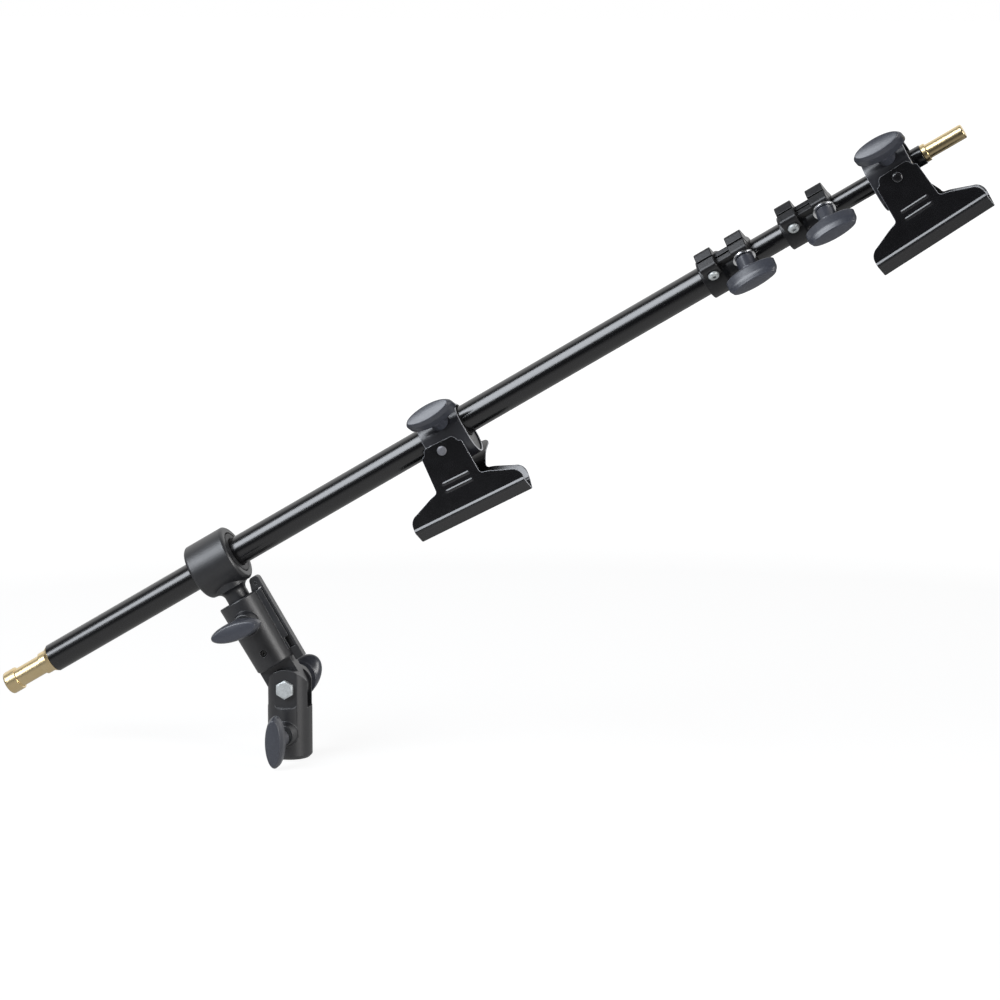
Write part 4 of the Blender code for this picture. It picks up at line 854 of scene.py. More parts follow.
def keeper_rail():
    inner = KEEPER_REACH - KEEPER_THICKNESS
    foot = BARREL_FOOT_RADIUS - GAP
    foot_top = RIB_FOOT + GAP / 3
    tail_inner = KEEPER_REACH - KEEPER_TAIL_THICKNESS
    tail_end = SHOULDER_RISE - KEEPER_TAIL_DROP
    shelf = BARREL_TOP + GAP / 3
    outline = [(tail_inner, tail_end), (KEEPER_REACH, tail_end)]
    outline += arc((KEEPER_REACH - KEEPER_CORNER, KEEPER_TOP - KEEPER_CORNER), KEEPER_CORNER, 0, 90)
    outline += arc((KEEPER_HOOK_TOP + KEEPER_CORNER, KEEPER_TOP - KEEPER_CORNER), KEEPER_CORNER, 90, 180)
    outline += [(KEEPER_HOOK_FOOT, shelf), (inner, shelf), (inner, foot_top), (foot, foot_top),
                (foot, SHOULDER_RISE), (tail_inner, SHOULDER_RISE)]
    rail = softened(prism(outline, -KEEPER_WIDTH / 2, KEEPER_WIDTH / 2, "XZ"), EASE_FINE)
    hole = rod(KEEPER_PIN_RADIUS + GAP, -KEEPER_WIDTH, KEEPER_WIDTH, axis="Y")
    return cut(rail, moved(hole, KEEPER_PIN_PLACE))


def hexagon(across, low, high):
    """Hexagonal bar, such as a key socket or the body of a bolt head."""
    corner = across / math.sqrt(3.0)
    return lathe([(0.0, low), (corner, low), (corner, high), (0.0, high)], 6)


def grub_screw():
    tip = STUD_RADIUS - GROOVE_DEPTH + GAP
    body = lathe(eased([(0.0, tip), (SET_SCREW_TIP_RADIUS, tip),
                        (SET_SCREW_RADIUS, tip + SET_SCREW_TIP_LENGTH),
                        (SET_SCREW_RADIUS, SET_SCREW_REACH), (0.0, SET_SCREW_REACH)], EASE_HAIR), SMALL_STEPS)
    key = hexagon(SET_SCREW_KEY, SET_SCREW_REACH - SET_SCREW_KEY_DEPTH, SET_SCREW_REACH + KEY_CLEAR)
    return turned(cut(body, key), TURN / 4, "X")


dress("keeper_rail", keeper_rail(), TILT, "cast")
pin_half = KEEPER_WIDTH / 2
keeper_pin = rod(KEEPER_PIN_RADIUS, -pin_half, pin_half, axis="Y", ease=EASE_HAIR)
dress("keeper_pin", keeper_pin, TILT @ Matrix.Translation(KEEPER_PIN_PLACE), "cast")
dress("stem_set_screw", grub_screw(), TILT @ Matrix.Translation((0.0, 0.0, SET_SCREW_HEIGHT)), "black_screw")

# %% [markdown]
# The boom slides through the collar, a ring on a grooved stem. A liner ring
# sits inside, a little below the rim. The neck under the ring flares out in a
# smooth curve, which the lathe profile draws as a quarter circle.

# %% Collar, stem and liner
COLLAR_LENGTH = 0.0310
COLLAR_CHAMFER = 0.0015
COLLAR_RELIEF = 0.0006
COLLAR_EASE = 0.0007
STEM_TIP_LENGTH = 0.0008
NECK_FILLET = 0.0044
NECK_RISE = 0.0285


def boom_collar():
    half = COLLAR_LENGTH / 2
    ring = lathe(eased([
        (0.0, -half),
        (COLLAR_RADIUS - COLLAR_CHAMFER, -half),
        (COLLAR_RADIUS, -half + COLLAR_CHAMFER),
        (COLLAR_RADIUS, half - COLLAR_CHAMFER),
        (COLLAR_RADIUS - COLLAR_CHAMFER, half),
        (0.0, half),
    ], COLLAR_EASE), FINE_STEPS, "X")
    foot = -NECK_RISE - STEM_INSERT
    groove = SET_SCREW_HEIGHT - BOOM_RISE
    groove_half = SET_SCREW_RADIUS + GAP
    groove_radius = STUD_RADIUS - GROOVE_DEPTH
    stem = eased([
        (0.0, foot),
        (groove_radius, foot),
        (STUD_RADIUS, foot + STEM_TIP_LENGTH),
        (STUD_RADIUS, groove - groove_half),
        (groove_radius, groove - groove_half),
        (groove_radius, groove + groove_half),
        (STUD_RADIUS, groove + groove_half),
        (STUD_RADIUS, -NECK_RISE),
    ], EASE_HAIR)
    fillet_centre = (STUD_RADIUS + NECK_FILLET, -COLLAR_RADIUS - NECK_FILLET)
    stem += arc(fillet_centre, NECK_FILLET, 180, 90, 2 * ARC_STEPS)
    stem += [(STUD_RADIUS + NECK_FILLET, -COLLAR_BORE / 2), (0.0, -COLLAR_BORE / 2)]
    body = fuse(ring, lathe(stem))
    wide = COLLAR_BORE + COLLAR_RELIEF
    mouth = eased([
        (0.0, -COLLAR_LENGTH), (wide, -COLLAR_LENGTH), (wide, -half),
        (COLLAR_BORE, COLLAR_RELIEF - half), (COLLAR_BORE, half - COLLAR_RELIEF), (wide, half),
        (wide, COLLAR_LENGTH), (0.0, COLLAR_LENGTH),
    ], EASE_FINE)
    return cut(body, lathe(mouth, FINE_STEPS, "X"))


dress("boom_collar", boom_collar(), BOOM, "cast")
liner_half = COLLAR_LENGTH / 2
liner = pipe(BUSH_BORE, BUSH_RADIUS, -liner_half, liner_half, FINE_STEPS, "X", EASE_WIDE)
dress("collar_bush", liner, BOOM, "nylon")

# %% [markdown]
# Each locking screw ends in a moulded wing. Its outline is an oval that
# leaves the hub, widens to a bar and closes again towards a slightly domed
# face. Rings of points along the wing's height give the skin, and the corner
# between face and side is eased to catch a line of light.

# %% Wing knobs
KNOB_HUB_RADIUS = 0.0062
KNOB_HUB_LENGTH = 0.0098
KNOB_DEPTH = 0.0110
KNOB_HEIGHT = KNOB_HUB_LENGTH + KNOB_DEPTH
KNOB_SKIRT = 0.0060
KNOB_EDGE = 0.0009
KNOB_DOME = 0.0005
KNOB_BORE_DEPTH = 0.0090
WING = {"near": (0.0350, 0.0128), "bar": (0.0350, 0.0128), "face": (0.0318, 0.0108)}
TENSION_WING = {"near": (0.0248, 0.0248), "bar": (0.0368, 0.0240), "face": (0.0330, 0.0200)}
OVAL_POWER = 1.95
KNOB_STEPS = 72


def oval_ring(length, width, height):
    """One ring of the wing, a full oval."""
    ring = []
    for step in range(KNOB_STEPS):
        angle = TURN * step / KNOB_STEPS
        across = math.cos(angle)
        along = math.sin(angle)
        size = (abs(across) ** OVAL_POWER + abs(along) ** OVAL_POWER) ** (-1.0 / OVAL_POWER)
        ring.append((across * size * length / 2, along * size * width / 2, height))
    return ring


def blended_ovals(low, high, low_height, high_height, steps):
    """Rings between two ovals, swelling smoothly from one to the other."""
    rings = []
    for step in range(1, steps + 1):
        share = step / steps
        swell = math.sin(share * TURN / 4)
        size = [start + (end - start) * swell for start, end in zip(low, high)]
        rings.append(oval_ring(*size, low_height + (high_height - low_height) * share))
    return rings


def wing_knob(bore, wing):
    """Moulded wing on a round hub, with a blind bore for its screw. Z points outward."""
    near, bar, face = wing["near"], wing["bar"], wing["face"]
    hub = KNOB_HUB_RADIUS
    rings = [oval_ring(2 * bore, 2 * bore, KNOB_BORE_DEPTH + GAP)]
    rings += [oval_ring(2 * radius, 2 * radius, height) for radius, height in
              ((bore, 0.0004), (bore + 0.0003, 0.0), (hub - 0.0006, 0.0), (hub - 0.0002, 0.0002),
               (hub, 0.0007), (hub, KNOB_HUB_LENGTH - 0.0014), (hub + 0.0003, KNOB_HUB_LENGTH - 0.0005))]
    start = (near[0] - 2 * KNOB_EDGE, near[1] - KNOB_EDGE / 2)
    rings.append(oval_ring(*start, KNOB_HUB_LENGTH))
    rings += blended_ovals(start, near, KNOB_HUB_LENGTH, KNOB_HUB_LENGTH + KNOB_EDGE, 3)
    rings += blended_ovals(near, bar, KNOB_HUB_LENGTH + KNOB_EDGE, KNOB_HUB_LENGTH + KNOB_SKIRT, 6)
    rim_height = KNOB_HEIGHT - KNOB_DOME - KNOB_EDGE
    for step in range(1, 6):
        share = step / 5
        closing = 1.0 - math.cos(share * TURN / 4)
        size = [wide + (narrow - wide) * closing for wide, narrow in zip(bar, face)]
        rings.append(oval_ring(*size, KNOB_HUB_LENGTH + KNOB_SKIRT +
                               (rim_height - KNOB_HUB_LENGTH - KNOB_SKIRT) * share))
    for step in range(1, EASE_STEPS + 1):
        angle = TURN / 4 * step / EASE_STEPS
        inset = KNOB_EDGE * (1.0 - math.cos(angle))
        rings.append(oval_ring(face[0] - 2 * inset, face[1] - 2 * inset,
                               rim_height + KNOB_EDGE * math.sin(angle)))
    for share in (0.85, 0.6, 0.35, 0.12):
        size = [(length - 2 * KNOB_EDGE) * share for length in face]
        rings.append(oval_ring(*size, KNOB_HEIGHT - KNOB_DOME * share ** 2))
    return skin(rings)


print("a wing has", KNOB_STEPS, "points in each ring")

# %% [markdown]
# A thread is a screw surface: the radius depends on both the height and the
# angle, and a crest climbs one pitch for each turn. Cutting it as one skin of
# shifted rings is lighter than sweeping a profile, and it closes cleanly.

# %% Threaded shanks
THREAD_PITCH = 0.0008
THREAD_DEPTH = 0.00035
THREAD_STEPS = 24
THREAD_ROWS = 6


def threaded(radius, low, high, plain_from):
    """Threaded shank from low up to plain_from, plain and slimmer above it."""
    rows = max(int((plain_from - low) / THREAD_PITCH * THREAD_ROWS), 1)
    rings = []
    for row in range(rows + 1):
        height = low + (plain_from - low) * row / rows
        entry = min((height - low) / (2 * THREAD_DEPTH), 1.0)
        ring = []
        for step in range(THREAD_STEPS):
            turns = (height - low) / THREAD_PITCH - step / THREAD_STEPS
            groove = abs((turns % 1.0) * 2.0 - 1.0)
            size = radius - THREAD_DEPTH * (1.0 - groove) - THREAD_DEPTH * (1.0 - entry) * groove
            angle = TURN * step / THREAD_STEPS
            ring.append((size * math.cos(angle), size * math.sin(angle), height))
        rings.append(ring)
    root = radius - THREAD_DEPTH
    angles = [TURN * step / THREAD_STEPS for step in range(THREAD_STEPS)]
    for height in (plain_from + EASE_HAIR, high):
        rings.append([(root * math.cos(angle), root * math.sin(angle), height) for angle in angles])
    return skin(rings)


def add_wing(prefix, place, below_hub, wing=WING):
    """Wing knob and its screw, whose hub face is at the origin of the place."""
    screw = threaded(KNOB_SCREW_RADIUS, -below_hub, KNOB_BORE_DEPTH, -GAP)
    dress(prefix + "_screw", screw, place, "zinc")
    dress(prefix + "_knob", wing_knob(TAPPED_RADIUS, wing), place, "knob")


def receiver_wing(prefix, frame_place, height, long_axis):
    hub_face = BOSS_REACH + KNOB_STANDOFF
    shank = hub_face - SOCKET_RADIUS - GAP
    add_wing(prefix, frame_place @ axes_place((0.0, -hub_face, height), long_axis, (0.0, -1.0, 0.0)), shank)


UPPER_KNOB_ANGLE = math.radians(-9.5)
receiver_wing("lower", GROUND, LOWER_KNOB_HEIGHT, (0.0, 0.0, 1.0))
receiver_wing("upper", TILT, UPPER_KNOB_HEIGHT,
              (math.cos(UPPER_KNOB_ANGLE), 0.0, math.sin(UPPER_KNOB_ANGLE)))

# %% [markdown]
# A zinc plated hexagon bolt goes through the clevis from the front. A forged
# head has a domed chamfer on its face, so the hexagon is cut by a cone. On
# the far side a washer and the large tension knob clamp the tilt.

# %% Pivot bolt, washer and tension knob
BOLT_HEAD_ACROSS = 0.0112
BOLT_HEAD_HEIGHT = 0.0032
BOLT_FACE_SHARE = 0.44
BOLT_FACE_DROP = 0.0009
BOLT_EASE = 0.00015
CONE_MARGIN = 0.0001
TENSION_WASHER_RADIUS = 0.0070
TENSION_WASHER_THICKNESS = 0.0013
TENSION_KNOB_ANGLE = math.radians(52.0)
WASHER_START = FLAT_OFFSET + GAP
TENSION_KNOB_FACE = WASHER_START + TENSION_WASHER_THICKNESS + GAP
PIVOT = Matrix.Translation((0.0, 0.0, PIVOT_HEIGHT))


def pivot_bolt():
    face = -WASHER_START - BOLT_HEAD_HEIGHT
    head = turned(turned(hexagon(BOLT_HEAD_ACROSS, WASHER_START, -face), TURN / 4, "X"), TURN / 12, "Y")
    corner = BOLT_HEAD_ACROSS / math.sqrt(3.0) + CONE_MARGIN
    cone = lathe([(0.0, face), (BOLT_HEAD_ACROSS * BOLT_FACE_SHARE, face), (corner, face + BOLT_FACE_DROP),
                  (corner, 0.0), (0.0, 0.0)], SMALL_STEPS, "Y")
    head = softened(combine(head, cone, "INTERSECT"), BOLT_EASE, 2, 25.0)
    inside_head = face / 1.1
    shank = rod(BOLT_RADIUS, inside_head, TENSION_KNOB_FACE + KNOB_BORE_DEPTH, axis="Y", ease=EASE_FINE)
    return fuse(head, shank)


dress("pivot_bolt", pivot_bolt(), PIVOT, "zinc")
tension_washer = pipe(BOLT_RADIUS + GAP, TENSION_WASHER_RADIUS, WASHER_START,
                      WASHER_START + TENSION_WASHER_THICKNESS, SMALL_STEPS, "Y")
dress("tension_washer", tension_washer, PIVOT, "zinc")
tension_axis = (math.cos(TENSION_KNOB_ANGLE), 0.0, math.sin(TENSION_KNOB_ANGLE))
tension_place = axes_place((0.0, TENSION_KNOB_FACE, PIVOT_HEIGHT), tension_axis, (0.0, 1.0, 0.0))
dress("tension_knob", wing_knob(BOLT_RADIUS + GAP, TENSION_WING), tension_place, "knob")

# %% [markdown]
# The boom is three tubes, one inside the next. Only a short length of the two
# thin ones shows, but they are modelled whole, because they slide out. Two
# nylon guides on their hidden ends keep their CAD shape and get a finish.

# %% Boom sections
MAIN_TUBE_BEHIND = 0.1357
MAIN_TUBE_END = 0.5330 - MAIN_TUBE_BEHIND
MAIN_TUBE_BORE = MAIN_TUBE_RADIUS - 0.0012
TELESCOPE_GAP = 0.0005
THIN_WALL = 0.0010
THIN_TUBE_LENGTH = 0.4800
MIDDLE_TUBE_RADIUS = MAIN_TUBE_BORE - TELESCOPE_GAP
MIDDLE_TUBE_BORE = MIDDLE_TUBE_RADIUS - THIN_WALL
INNER_TUBE_RADIUS = MIDDLE_TUBE_BORE - TELESCOPE_GAP
INNER_TUBE_BORE = INNER_TUBE_RADIUS - THIN_WALL
MIDDLE_TUBE_END = MAIN_TUBE_END + 0.0599
INNER_TUBE_END = MIDDLE_TUBE_END + 0.0886
dress("main_tube", pipe(MAIN_TUBE_BORE, MAIN_TUBE_RADIUS, -MAIN_TUBE_BEHIND, MAIN_TUBE_END, FINE_STEPS, "X"),
      BOOM, "tube")
for node, bore, radius, end in (
    ("middle_tube", MIDDLE_TUBE_BORE, MIDDLE_TUBE_RADIUS, MIDDLE_TUBE_END),
    ("inner_tube", INNER_TUBE_BORE, INNER_TUBE_RADIUS, INNER_TUBE_END),
):
    dress(node, pipe(bore, radius, end - THIN_TUBE_LENGTH, end, FINE_STEPS, "X"), BOOM, "tube")
for node in ("middle_tube_guide", "inner_tube_guide"):
    for slot_index in range(len(frame["nodes"][node].material_slots)):
        frame["nodes"][node].material_slots[slot_index].material = finishes["nylon"][0]
print("boom reaches", round(INNER_TUBE_END, 4))

# %% [markdown]
# Both ends are brass. The low end is a grooved lighting stud behind a cone
# and a flange, and the high end a plain pin on a small flange. They are
# turned parts, so one profile each describes them.

# %% Brass ends
PLUG_LENGTH = 0.0140
PIN_RADIUS = 0.0048


def end_spigot():
    cone_wide = MAIN_TUBE_RADIUS - GAP
    flange_radius = 0.0077
    neck_radius = 0.0065
    flange_start = GAP + 0.0029
    flange_end = flange_start + 0.0051
    neck_end = flange_end + 0.0201
    head_end = neck_end + 0.0092
    plug_radius = MAIN_TUBE_BORE - GAP
    rounding = 0.0017
    profile = eased([
        (0.0, -PLUG_LENGTH),
        (plug_radius, -PLUG_LENGTH),
        (plug_radius, GAP),
        (cone_wide, GAP),
        (flange_radius, flange_start),
        (flange_radius, flange_end),
        (neck_radius, flange_end),
        (neck_radius, neck_end),
        (STUD_RADIUS, neck_end),
        (STUD_RADIUS, head_end - rounding),
    ], EASE_SMALL)
    profile += arc((STUD_RADIUS - rounding, head_end - rounding), rounding, 0, 90)[1:]
    profile.append((0.0, head_end))
    return lathe(profile, FINE_STEPS, "X")


def tip_pin():
    flange_end = GAP + 0.0030
    pin_end = flange_end + 0.0263
    plug_radius = INNER_TUBE_BORE - GAP
    profile = eased([
        (0.0, -PLUG_LENGTH),
        (plug_radius, -PLUG_LENGTH),
        (plug_radius, GAP),
        (0.0060, GAP),
        (0.0060, flange_end),
        (PIN_RADIUS, flange_end),
        (PIN_RADIUS, pin_end - 0.0006),
        (PIN_RADIUS - 0.0006, pin_end),
        (0.0, pin_end),
    ], EASE_FINE)
    return lathe(profile, FINE_STEPS, "X")


low_end = BOOM @ Matrix.Translation((-MAIN_TUBE_BEHIND, 0.0, 0.0)) @ Matrix.Rotation(TURN / 2, 4, "Z")
dress("end_spigot", end_spigot(), low_end, "brass")
dress("tip_pin", tip_pin(), BOOM @ Matrix.Translation((INNER_TUBE_END, 0.0, 0.0)), "brass")

# %% [markdown]
# A split clamp sits on the mouth of each wider tube. Its ring is fixed on
# that tube by a small screw through the first ear, and its slimmer sleeve
# squeezes the next tube when the wing screw pulls the second ear together.
# A slit runs through both ears. A web joins them, and a cone eases the step.

# %% Split clamps
CLAMP_LENGTH = 0.0386
CLAMP_SEAT = 0.0150
CLAMP_RING_START = 0.0012
CLAMP_RING_END = 0.0160
CLAMP_EAR_START = 0.0039
CLAMP_EAR_LENGTH = 0.0119
CLAMP_EAR_RISE = 0.0113
CLAMP_EAR_HALF = 0.00805
CLAMP_EAR_CORNER = 0.0027
CLAMP_SCREW_RISE = 0.00325
CLAMP_SLIT = 0.0012
CLAMP_WEB_RISE = 0.0062
CLAMP_WEB_HALF = 0.0040
CLAMP_WEB_INSET = 0.0040
CLAMP_RING_WALL = 0.0034
CLAMP_SLEEVE_WALL = 0.0030
CLAMP_CONE_LENGTH = 0.0030
WASHER_RADIUS = 0.00775
WASHER_THICKNESS = 0.0013
FIXING_SCREW_RADIUS = 0.0018
FIXING_HEAD_RADIUS = 0.0038
FIXING_HEAD_HEIGHT = 0.0022
FIXING_KEY = 0.0025
FIXING_KEY_DEPTH = 0.0012


def clamp_ear(start, reach):
    """One ear with rounded corners and soft edges."""
    outline = [(0.0, -CLAMP_EAR_HALF)]
    outline += arc((reach - CLAMP_EAR_CORNER, CLAMP_EAR_CORNER - CLAMP_EAR_HALF), CLAMP_EAR_CORNER, -90, 0)
    outline += arc((reach - CLAMP_EAR_CORNER, CLAMP_EAR_HALF - CLAMP_EAR_CORNER), CLAMP_EAR_CORNER, 0, 90)
    outline.append((0.0, CLAMP_EAR_HALF))
    return softened(prism(outline, start, start + CLAMP_EAR_LENGTH, "YZ"), EASE_WIDE)


def clamp_body(outer_radius, inner_radius):
    ear_reach = outer_radius + CLAMP_EAR_RISE
    far_start = CLAMP_LENGTH - CLAMP_EAR_LENGTH
    ring_radius = outer_radius + GAP + CLAMP_RING_WALL
    sleeve_radius = inner_radius + GAP + CLAMP_SLEEVE_WALL
    shell = lathe(eased([
        (0.0, CLAMP_RING_START),
        (ring_radius, CLAMP_RING_START),
        (ring_radius, CLAMP_RING_END),
        (sleeve_radius, CLAMP_RING_END + CLAMP_CONE_LENGTH),
        (sleeve_radius, CLAMP_LENGTH),
        (0.0, CLAMP_LENGTH),
    ], EASE_WIDE), FINE_STEPS, "X")
    web_reach = outer_radius + CLAMP_WEB_RISE
    web = softened(block((CLAMP_EAR_START + CLAMP_WEB_INSET, 0.0, -CLAMP_WEB_HALF),
                         (far_start + CLAMP_WEB_INSET, web_reach, CLAMP_WEB_HALF)), EASE_WIDE)
    ears = [clamp_ear(start, ear_reach) for start in (CLAMP_EAR_START, far_start)]
    body = fuse(shell, web, *ears)
    wide_bore = rod(outer_radius + GAP, -CLAMP_LENGTH, CLAMP_SEAT + GAP, FINE_STEPS, "X")
    narrow_bore = rod(inner_radius + GAP, -CLAMP_LENGTH, 2 * CLAMP_LENGTH, FINE_STEPS, "X")
    slit = block((-CLAMP_LENGTH, 0.0, -CLAMP_SLIT / 2), (2 * CLAMP_LENGTH, 2 * ear_reach, CLAMP_SLIT / 2))
    body = cut(body, wide_bore, narrow_bore, slit)
    screw_rise = outer_radius + CLAMP_SCREW_RISE
    for start, radius, head in ((CLAMP_EAR_START, FIXING_SCREW_RADIUS, FIXING_HEAD_RADIUS),
                                (far_start, KNOB_SCREW_RADIUS, WASHER_RADIUS)):
        middle = (start + CLAMP_EAR_LENGTH / 2, screw_rise, 0.0)
        hole = moved(rod(radius + GAP, -2 * CLAMP_EAR_HALF, 2 * CLAMP_EAR_HALF), middle)
        seat = moved(rod(head + GAP, CLAMP_EAR_HALF, 2 * CLAMP_EAR_HALF), middle)
        body = cut(body, hole, seat)
    return body


def fixing_screw():
    start = CLAMP_EAR_HALF + GAP
    top = start + FIXING_HEAD_HEIGHT
    screw = lathe(eased([
        (0.0, -CLAMP_EAR_HALF),
        (FIXING_SCREW_RADIUS, -CLAMP_EAR_HALF),
        (FIXING_SCREW_RADIUS, start),
        (FIXING_HEAD_RADIUS, start),
        (FIXING_HEAD_RADIUS, start + FIXING_HEAD_HEIGHT / 2),
        (FIXING_HEAD_RADIUS - FIXING_HEAD_HEIGHT / 3, top),
        (0.0, top),
    ], EASE_SMALL), SMALL_STEPS)
    return cut(screw, hexagon(FIXING_KEY, top - FIXING_KEY_DEPTH, top + KEY_CLEAR))


def split_clamp(prefix, tube_end, outer_radius, inner_radius, turn):
    place = BOOM @ Matrix.Translation((tube_end - CLAMP_SEAT, 0.0, 0.0)) @ Matrix.Rotation(turn, 4, "X")
    screw_rise = outer_radius + CLAMP_SCREW_RISE
    fixing = place @ Matrix.Translation((CLAMP_EAR_START + CLAMP_EAR_LENGTH / 2, screw_rise, 0.0))
    far_middle = (CLAMP_LENGTH - CLAMP_EAR_LENGTH / 2, screw_rise, 0.0)
    head_start = CLAMP_EAR_HALF + GAP
    washer_end = head_start + WASHER_THICKNESS
    hub_face = washer_end + GAP
    dress(prefix + "_body", clamp_body(outer_radius, inner_radius), place, "plastic")
    dress(prefix + "_fixing_screw", fixing_screw(), fixing, "zinc")
    washer = pipe(TAPPED_RADIUS, WASHER_RADIUS, head_start, washer_end, SMALL_STEPS)
    dress(prefix + "_washer", washer, place @ Matrix.Translation(far_middle), "chrome")
    seat = Vector(far_middle) + Vector((0.0, 0.0, hub_face))
    add_wing(prefix, place @ Matrix.Translation(seat), hub_face + CLAMP_EAR_HALF)


split_clamp("main_clamp", MAIN_TUBE_END, MAIN_TUBE_RADIUS, MIDDLE_TUBE_RADIUS, math.radians(145.0))
split_clamp("middle_clamp", MIDDLE_TUBE_END, MIDDLE_TUBE_RADIUS, INNER_TUBE_RADIUS, math.radians(139.0))

# %% [markdown]
# The spring clips hold a panel's edge. Each jaw is pressed from sheet, so it
# is drawn as rows of width, depth and height, then thickened evenly and eased
# along its cut edge. The rows follow the outline's curves closely, and the
# two embossed bars of the front jaw are a small swell of the same rows.

# %% Jaw outline
JAW_THICKNESS = 0.0010
JAW_HEIGHT = 0.0545
JAW_HALF_WIDTH = 0.0415
LIP_HEIGHT = 0.0063
LIP_BEND = 0.0012
JAW_CORNER_RADIUS = 0.0080
JAW_CORNER_HEIGHT = 0.0180
JAW_SHOULDER = (0.0210, 0.0235)
JAW_NECK_FOOT = (0.0163, 0.0245)
JAW_NOTCH = (0.0152, JAW_HEIGHT - 0.0080)
JAW_TOP_HALF = 0.0107
JAW_EASE = 0.0045
JAW_TOP_EASE = 0.0014
JAW_EDGE_EASE = 0.0004
ROW_STEP = 0.0004
REAR_COLUMNS = 56
FRONT_COLUMNS = 72
RIM_SHARE = 0.28


def lower_outline():
    """(half width, height) of both jaws from the lip edge up to the neck."""
    corner = JAW_CORNER_RADIUS
    outline = [(JAW_HALF_WIDTH - JAW_EDGE_EASE, 0.0), (JAW_HALF_WIDTH, 0.0006), (JAW_HALF_WIDTH, LIP_HEIGHT)]
    outline += arc((JAW_HALF_WIDTH - corner, JAW_CORNER_HEIGHT - corner), corner, 0, 75, 2 * ARC_STEPS)
    return outline + eased([outline[-1], JAW_SHOULDER, JAW_NECK_FOOT, JAW_NOTCH], JAW_EASE)[1:-1]


def front_outline():
    """The front jaw's whole outline, with the small S shaped step below its top corners."""
    top = [
        JAW_NOTCH,
        (0.0151, JAW_HEIGHT - 0.0052),
        (0.0124, JAW_HEIGHT - 0.0042),
        (0.0117, JAW_HEIGHT - 0.0018),
        (JAW_TOP_HALF - 0.0010, JAW_HEIGHT),
    ]
    return lower_outline() + eased(top, JAW_TOP_EASE)


def filled_rows(outline):
    """Add rows between the outline's own, so that no row is taller than ROW_STEP."""
    rows = [outline[0]]
    for (half, height), (next_half, next_height) in zip(outline, outline[1:]):
        count = max(math.ceil(abs(next_height - height) / ROW_STEP), 1)
        for step in range(1, count + 1):
            share = step / count
            rows.append((half + (next_half - half) * share, height + (next_height - height) * share))
    return rows


def pressed_sheet(rows, thickness, swell=None, columns=REAR_COLUMNS):
    """Sheet from rows of (middle, half width, depth, height), thickened and eased along its rim."""
    shape = bmesh.new()
    grid = []
    for middle, half, depth, height in rows:
        line = []
        for column in range(columns + 1):
            across = middle + half * (2.0 * column / columns - 1.0)
            push = swell(across, height) if swell else 0.0
            line.append(shape.verts.new((across, depth - push, height)))
        grid.append(line)
    for lower, upper in zip(grid, grid[1:]):
        for column in range(columns):
            shape.faces.new((lower[column], lower[column + 1], upper[column + 1], upper[column]))
    carrier = carried(shape)
    solidify = carrier.modifiers.new("thickness", "SOLIDIFY")
    solidify.thickness = thickness
    solidify.offset = 0.0
    solidify.use_even_offset = True
    rim = carrier.modifiers.new("rim", "BEVEL")
    rim.width = thickness * RIM_SHARE
    rim.segments = 2
    rim.limit_method = "ANGLE"
    rim.angle_limit = math.radians(60.0)
    result = taken(carrier)
    bmesh.ops.recalc_face_normals(result, faces=result.faces)
    return result


print("outline points", len(front_outline()))

# %% [markdown]
# The strap is an upright loop of sheet round the tube. Its sizes also place
# the jaws, whose front plate is riveted to the strap's flat side.

# %% Clip sizes
STRAP_WIDTH = 0.0300
STRAP_WALL = 0.0014
STRAP_LEG = 0.0110
SLEEVE_WALL = 0.00075
SADDLE_WIDTH = 0.0280
SADDLE_HORN_DROP = 0.0060
SADDLE_RADIUS = MAIN_TUBE_RADIUS + GAP + SLEEVE_WALL
STRAP_BORE = SADDLE_RADIUS + GAP
STRAP_RADIUS = STRAP_BORE + STRAP_WALL
JAW_PLANE = STRAP_RADIUS + GAP + JAW_THICKNESS / 2
JAW_ABOVE_RIVET = 0.0060
JAW_FOOT = JAW_ABOVE_RIVET - JAW_HEIGHT
RIVET_SHANK_RADIUS = 0.0016
RIVET_HEAD_RADIUS = 0.00325
RIVET_HEAD_HEIGHT = 0.0010
BEAD_RADIUS = 0.0016
PIVOT_DEPTH = 0.0218 - JAW_PLANE
PIVOT_LEVEL = JAW_FOOT + 0.0246
print("the jaw's plate lies", round(JAW_PLANE, 5), "from the tube's axis")

# %% Front jaw
EMBOSS_HEIGHTS = (0.0229, 0.0282)
EMBOSS_HALF = 0.0093
EMBOSS_WIDTH = 0.0009
EMBOSS_RISE = 0.00045
LIP_RIDGE = 0.00075
LIP_RIDGE_HALF = 0.0018


def embossed(across, height):
    """How far the front plate swells outward at one point."""
    swell = 0.0
    for bar in EMBOSS_HEIGHTS:
        past_end = max(abs(across) - EMBOSS_HALF, 0.0)
        distance = math.hypot(past_end, height - JAW_FOOT - bar) / EMBOSS_WIDTH
        if distance < 1.0:
            swell += EMBOSS_RISE * math.cos(distance * TURN / 4)
    ridge = abs(height - JAW_FOOT - LIP_HEIGHT - LIP_BEND) / LIP_RIDGE_HALF
    if ridge < 1.0:
        swell += LIP_RIDGE * math.cos(ridge * TURN / 4)
    return swell


def lip_depth(height):
    """How far the lip is bent back at one height above its edge."""
    below = LIP_HEIGHT - height
    if below > LIP_BEND:
        return below
    if below < -LIP_BEND:
        return 0.0
    return (below + LIP_BEND) ** 2 / (4 * LIP_BEND)


def front_jaw():
    rows = [(0.0, half, -JAW_PLANE + lip_depth(height), JAW_FOOT + height)
            for half, height in filled_rows(front_outline())]
    plate = pressed_sheet(rows, JAW_THICKNESS, embossed, FRONT_COLUMNS)
    return cut(plate, rod(RIVET_SHANK_RADIUS + GAP, -2 * JAW_PLANE, 0.0, axis="Y"))


print("front jaw is", JAW_HEIGHT, "high")

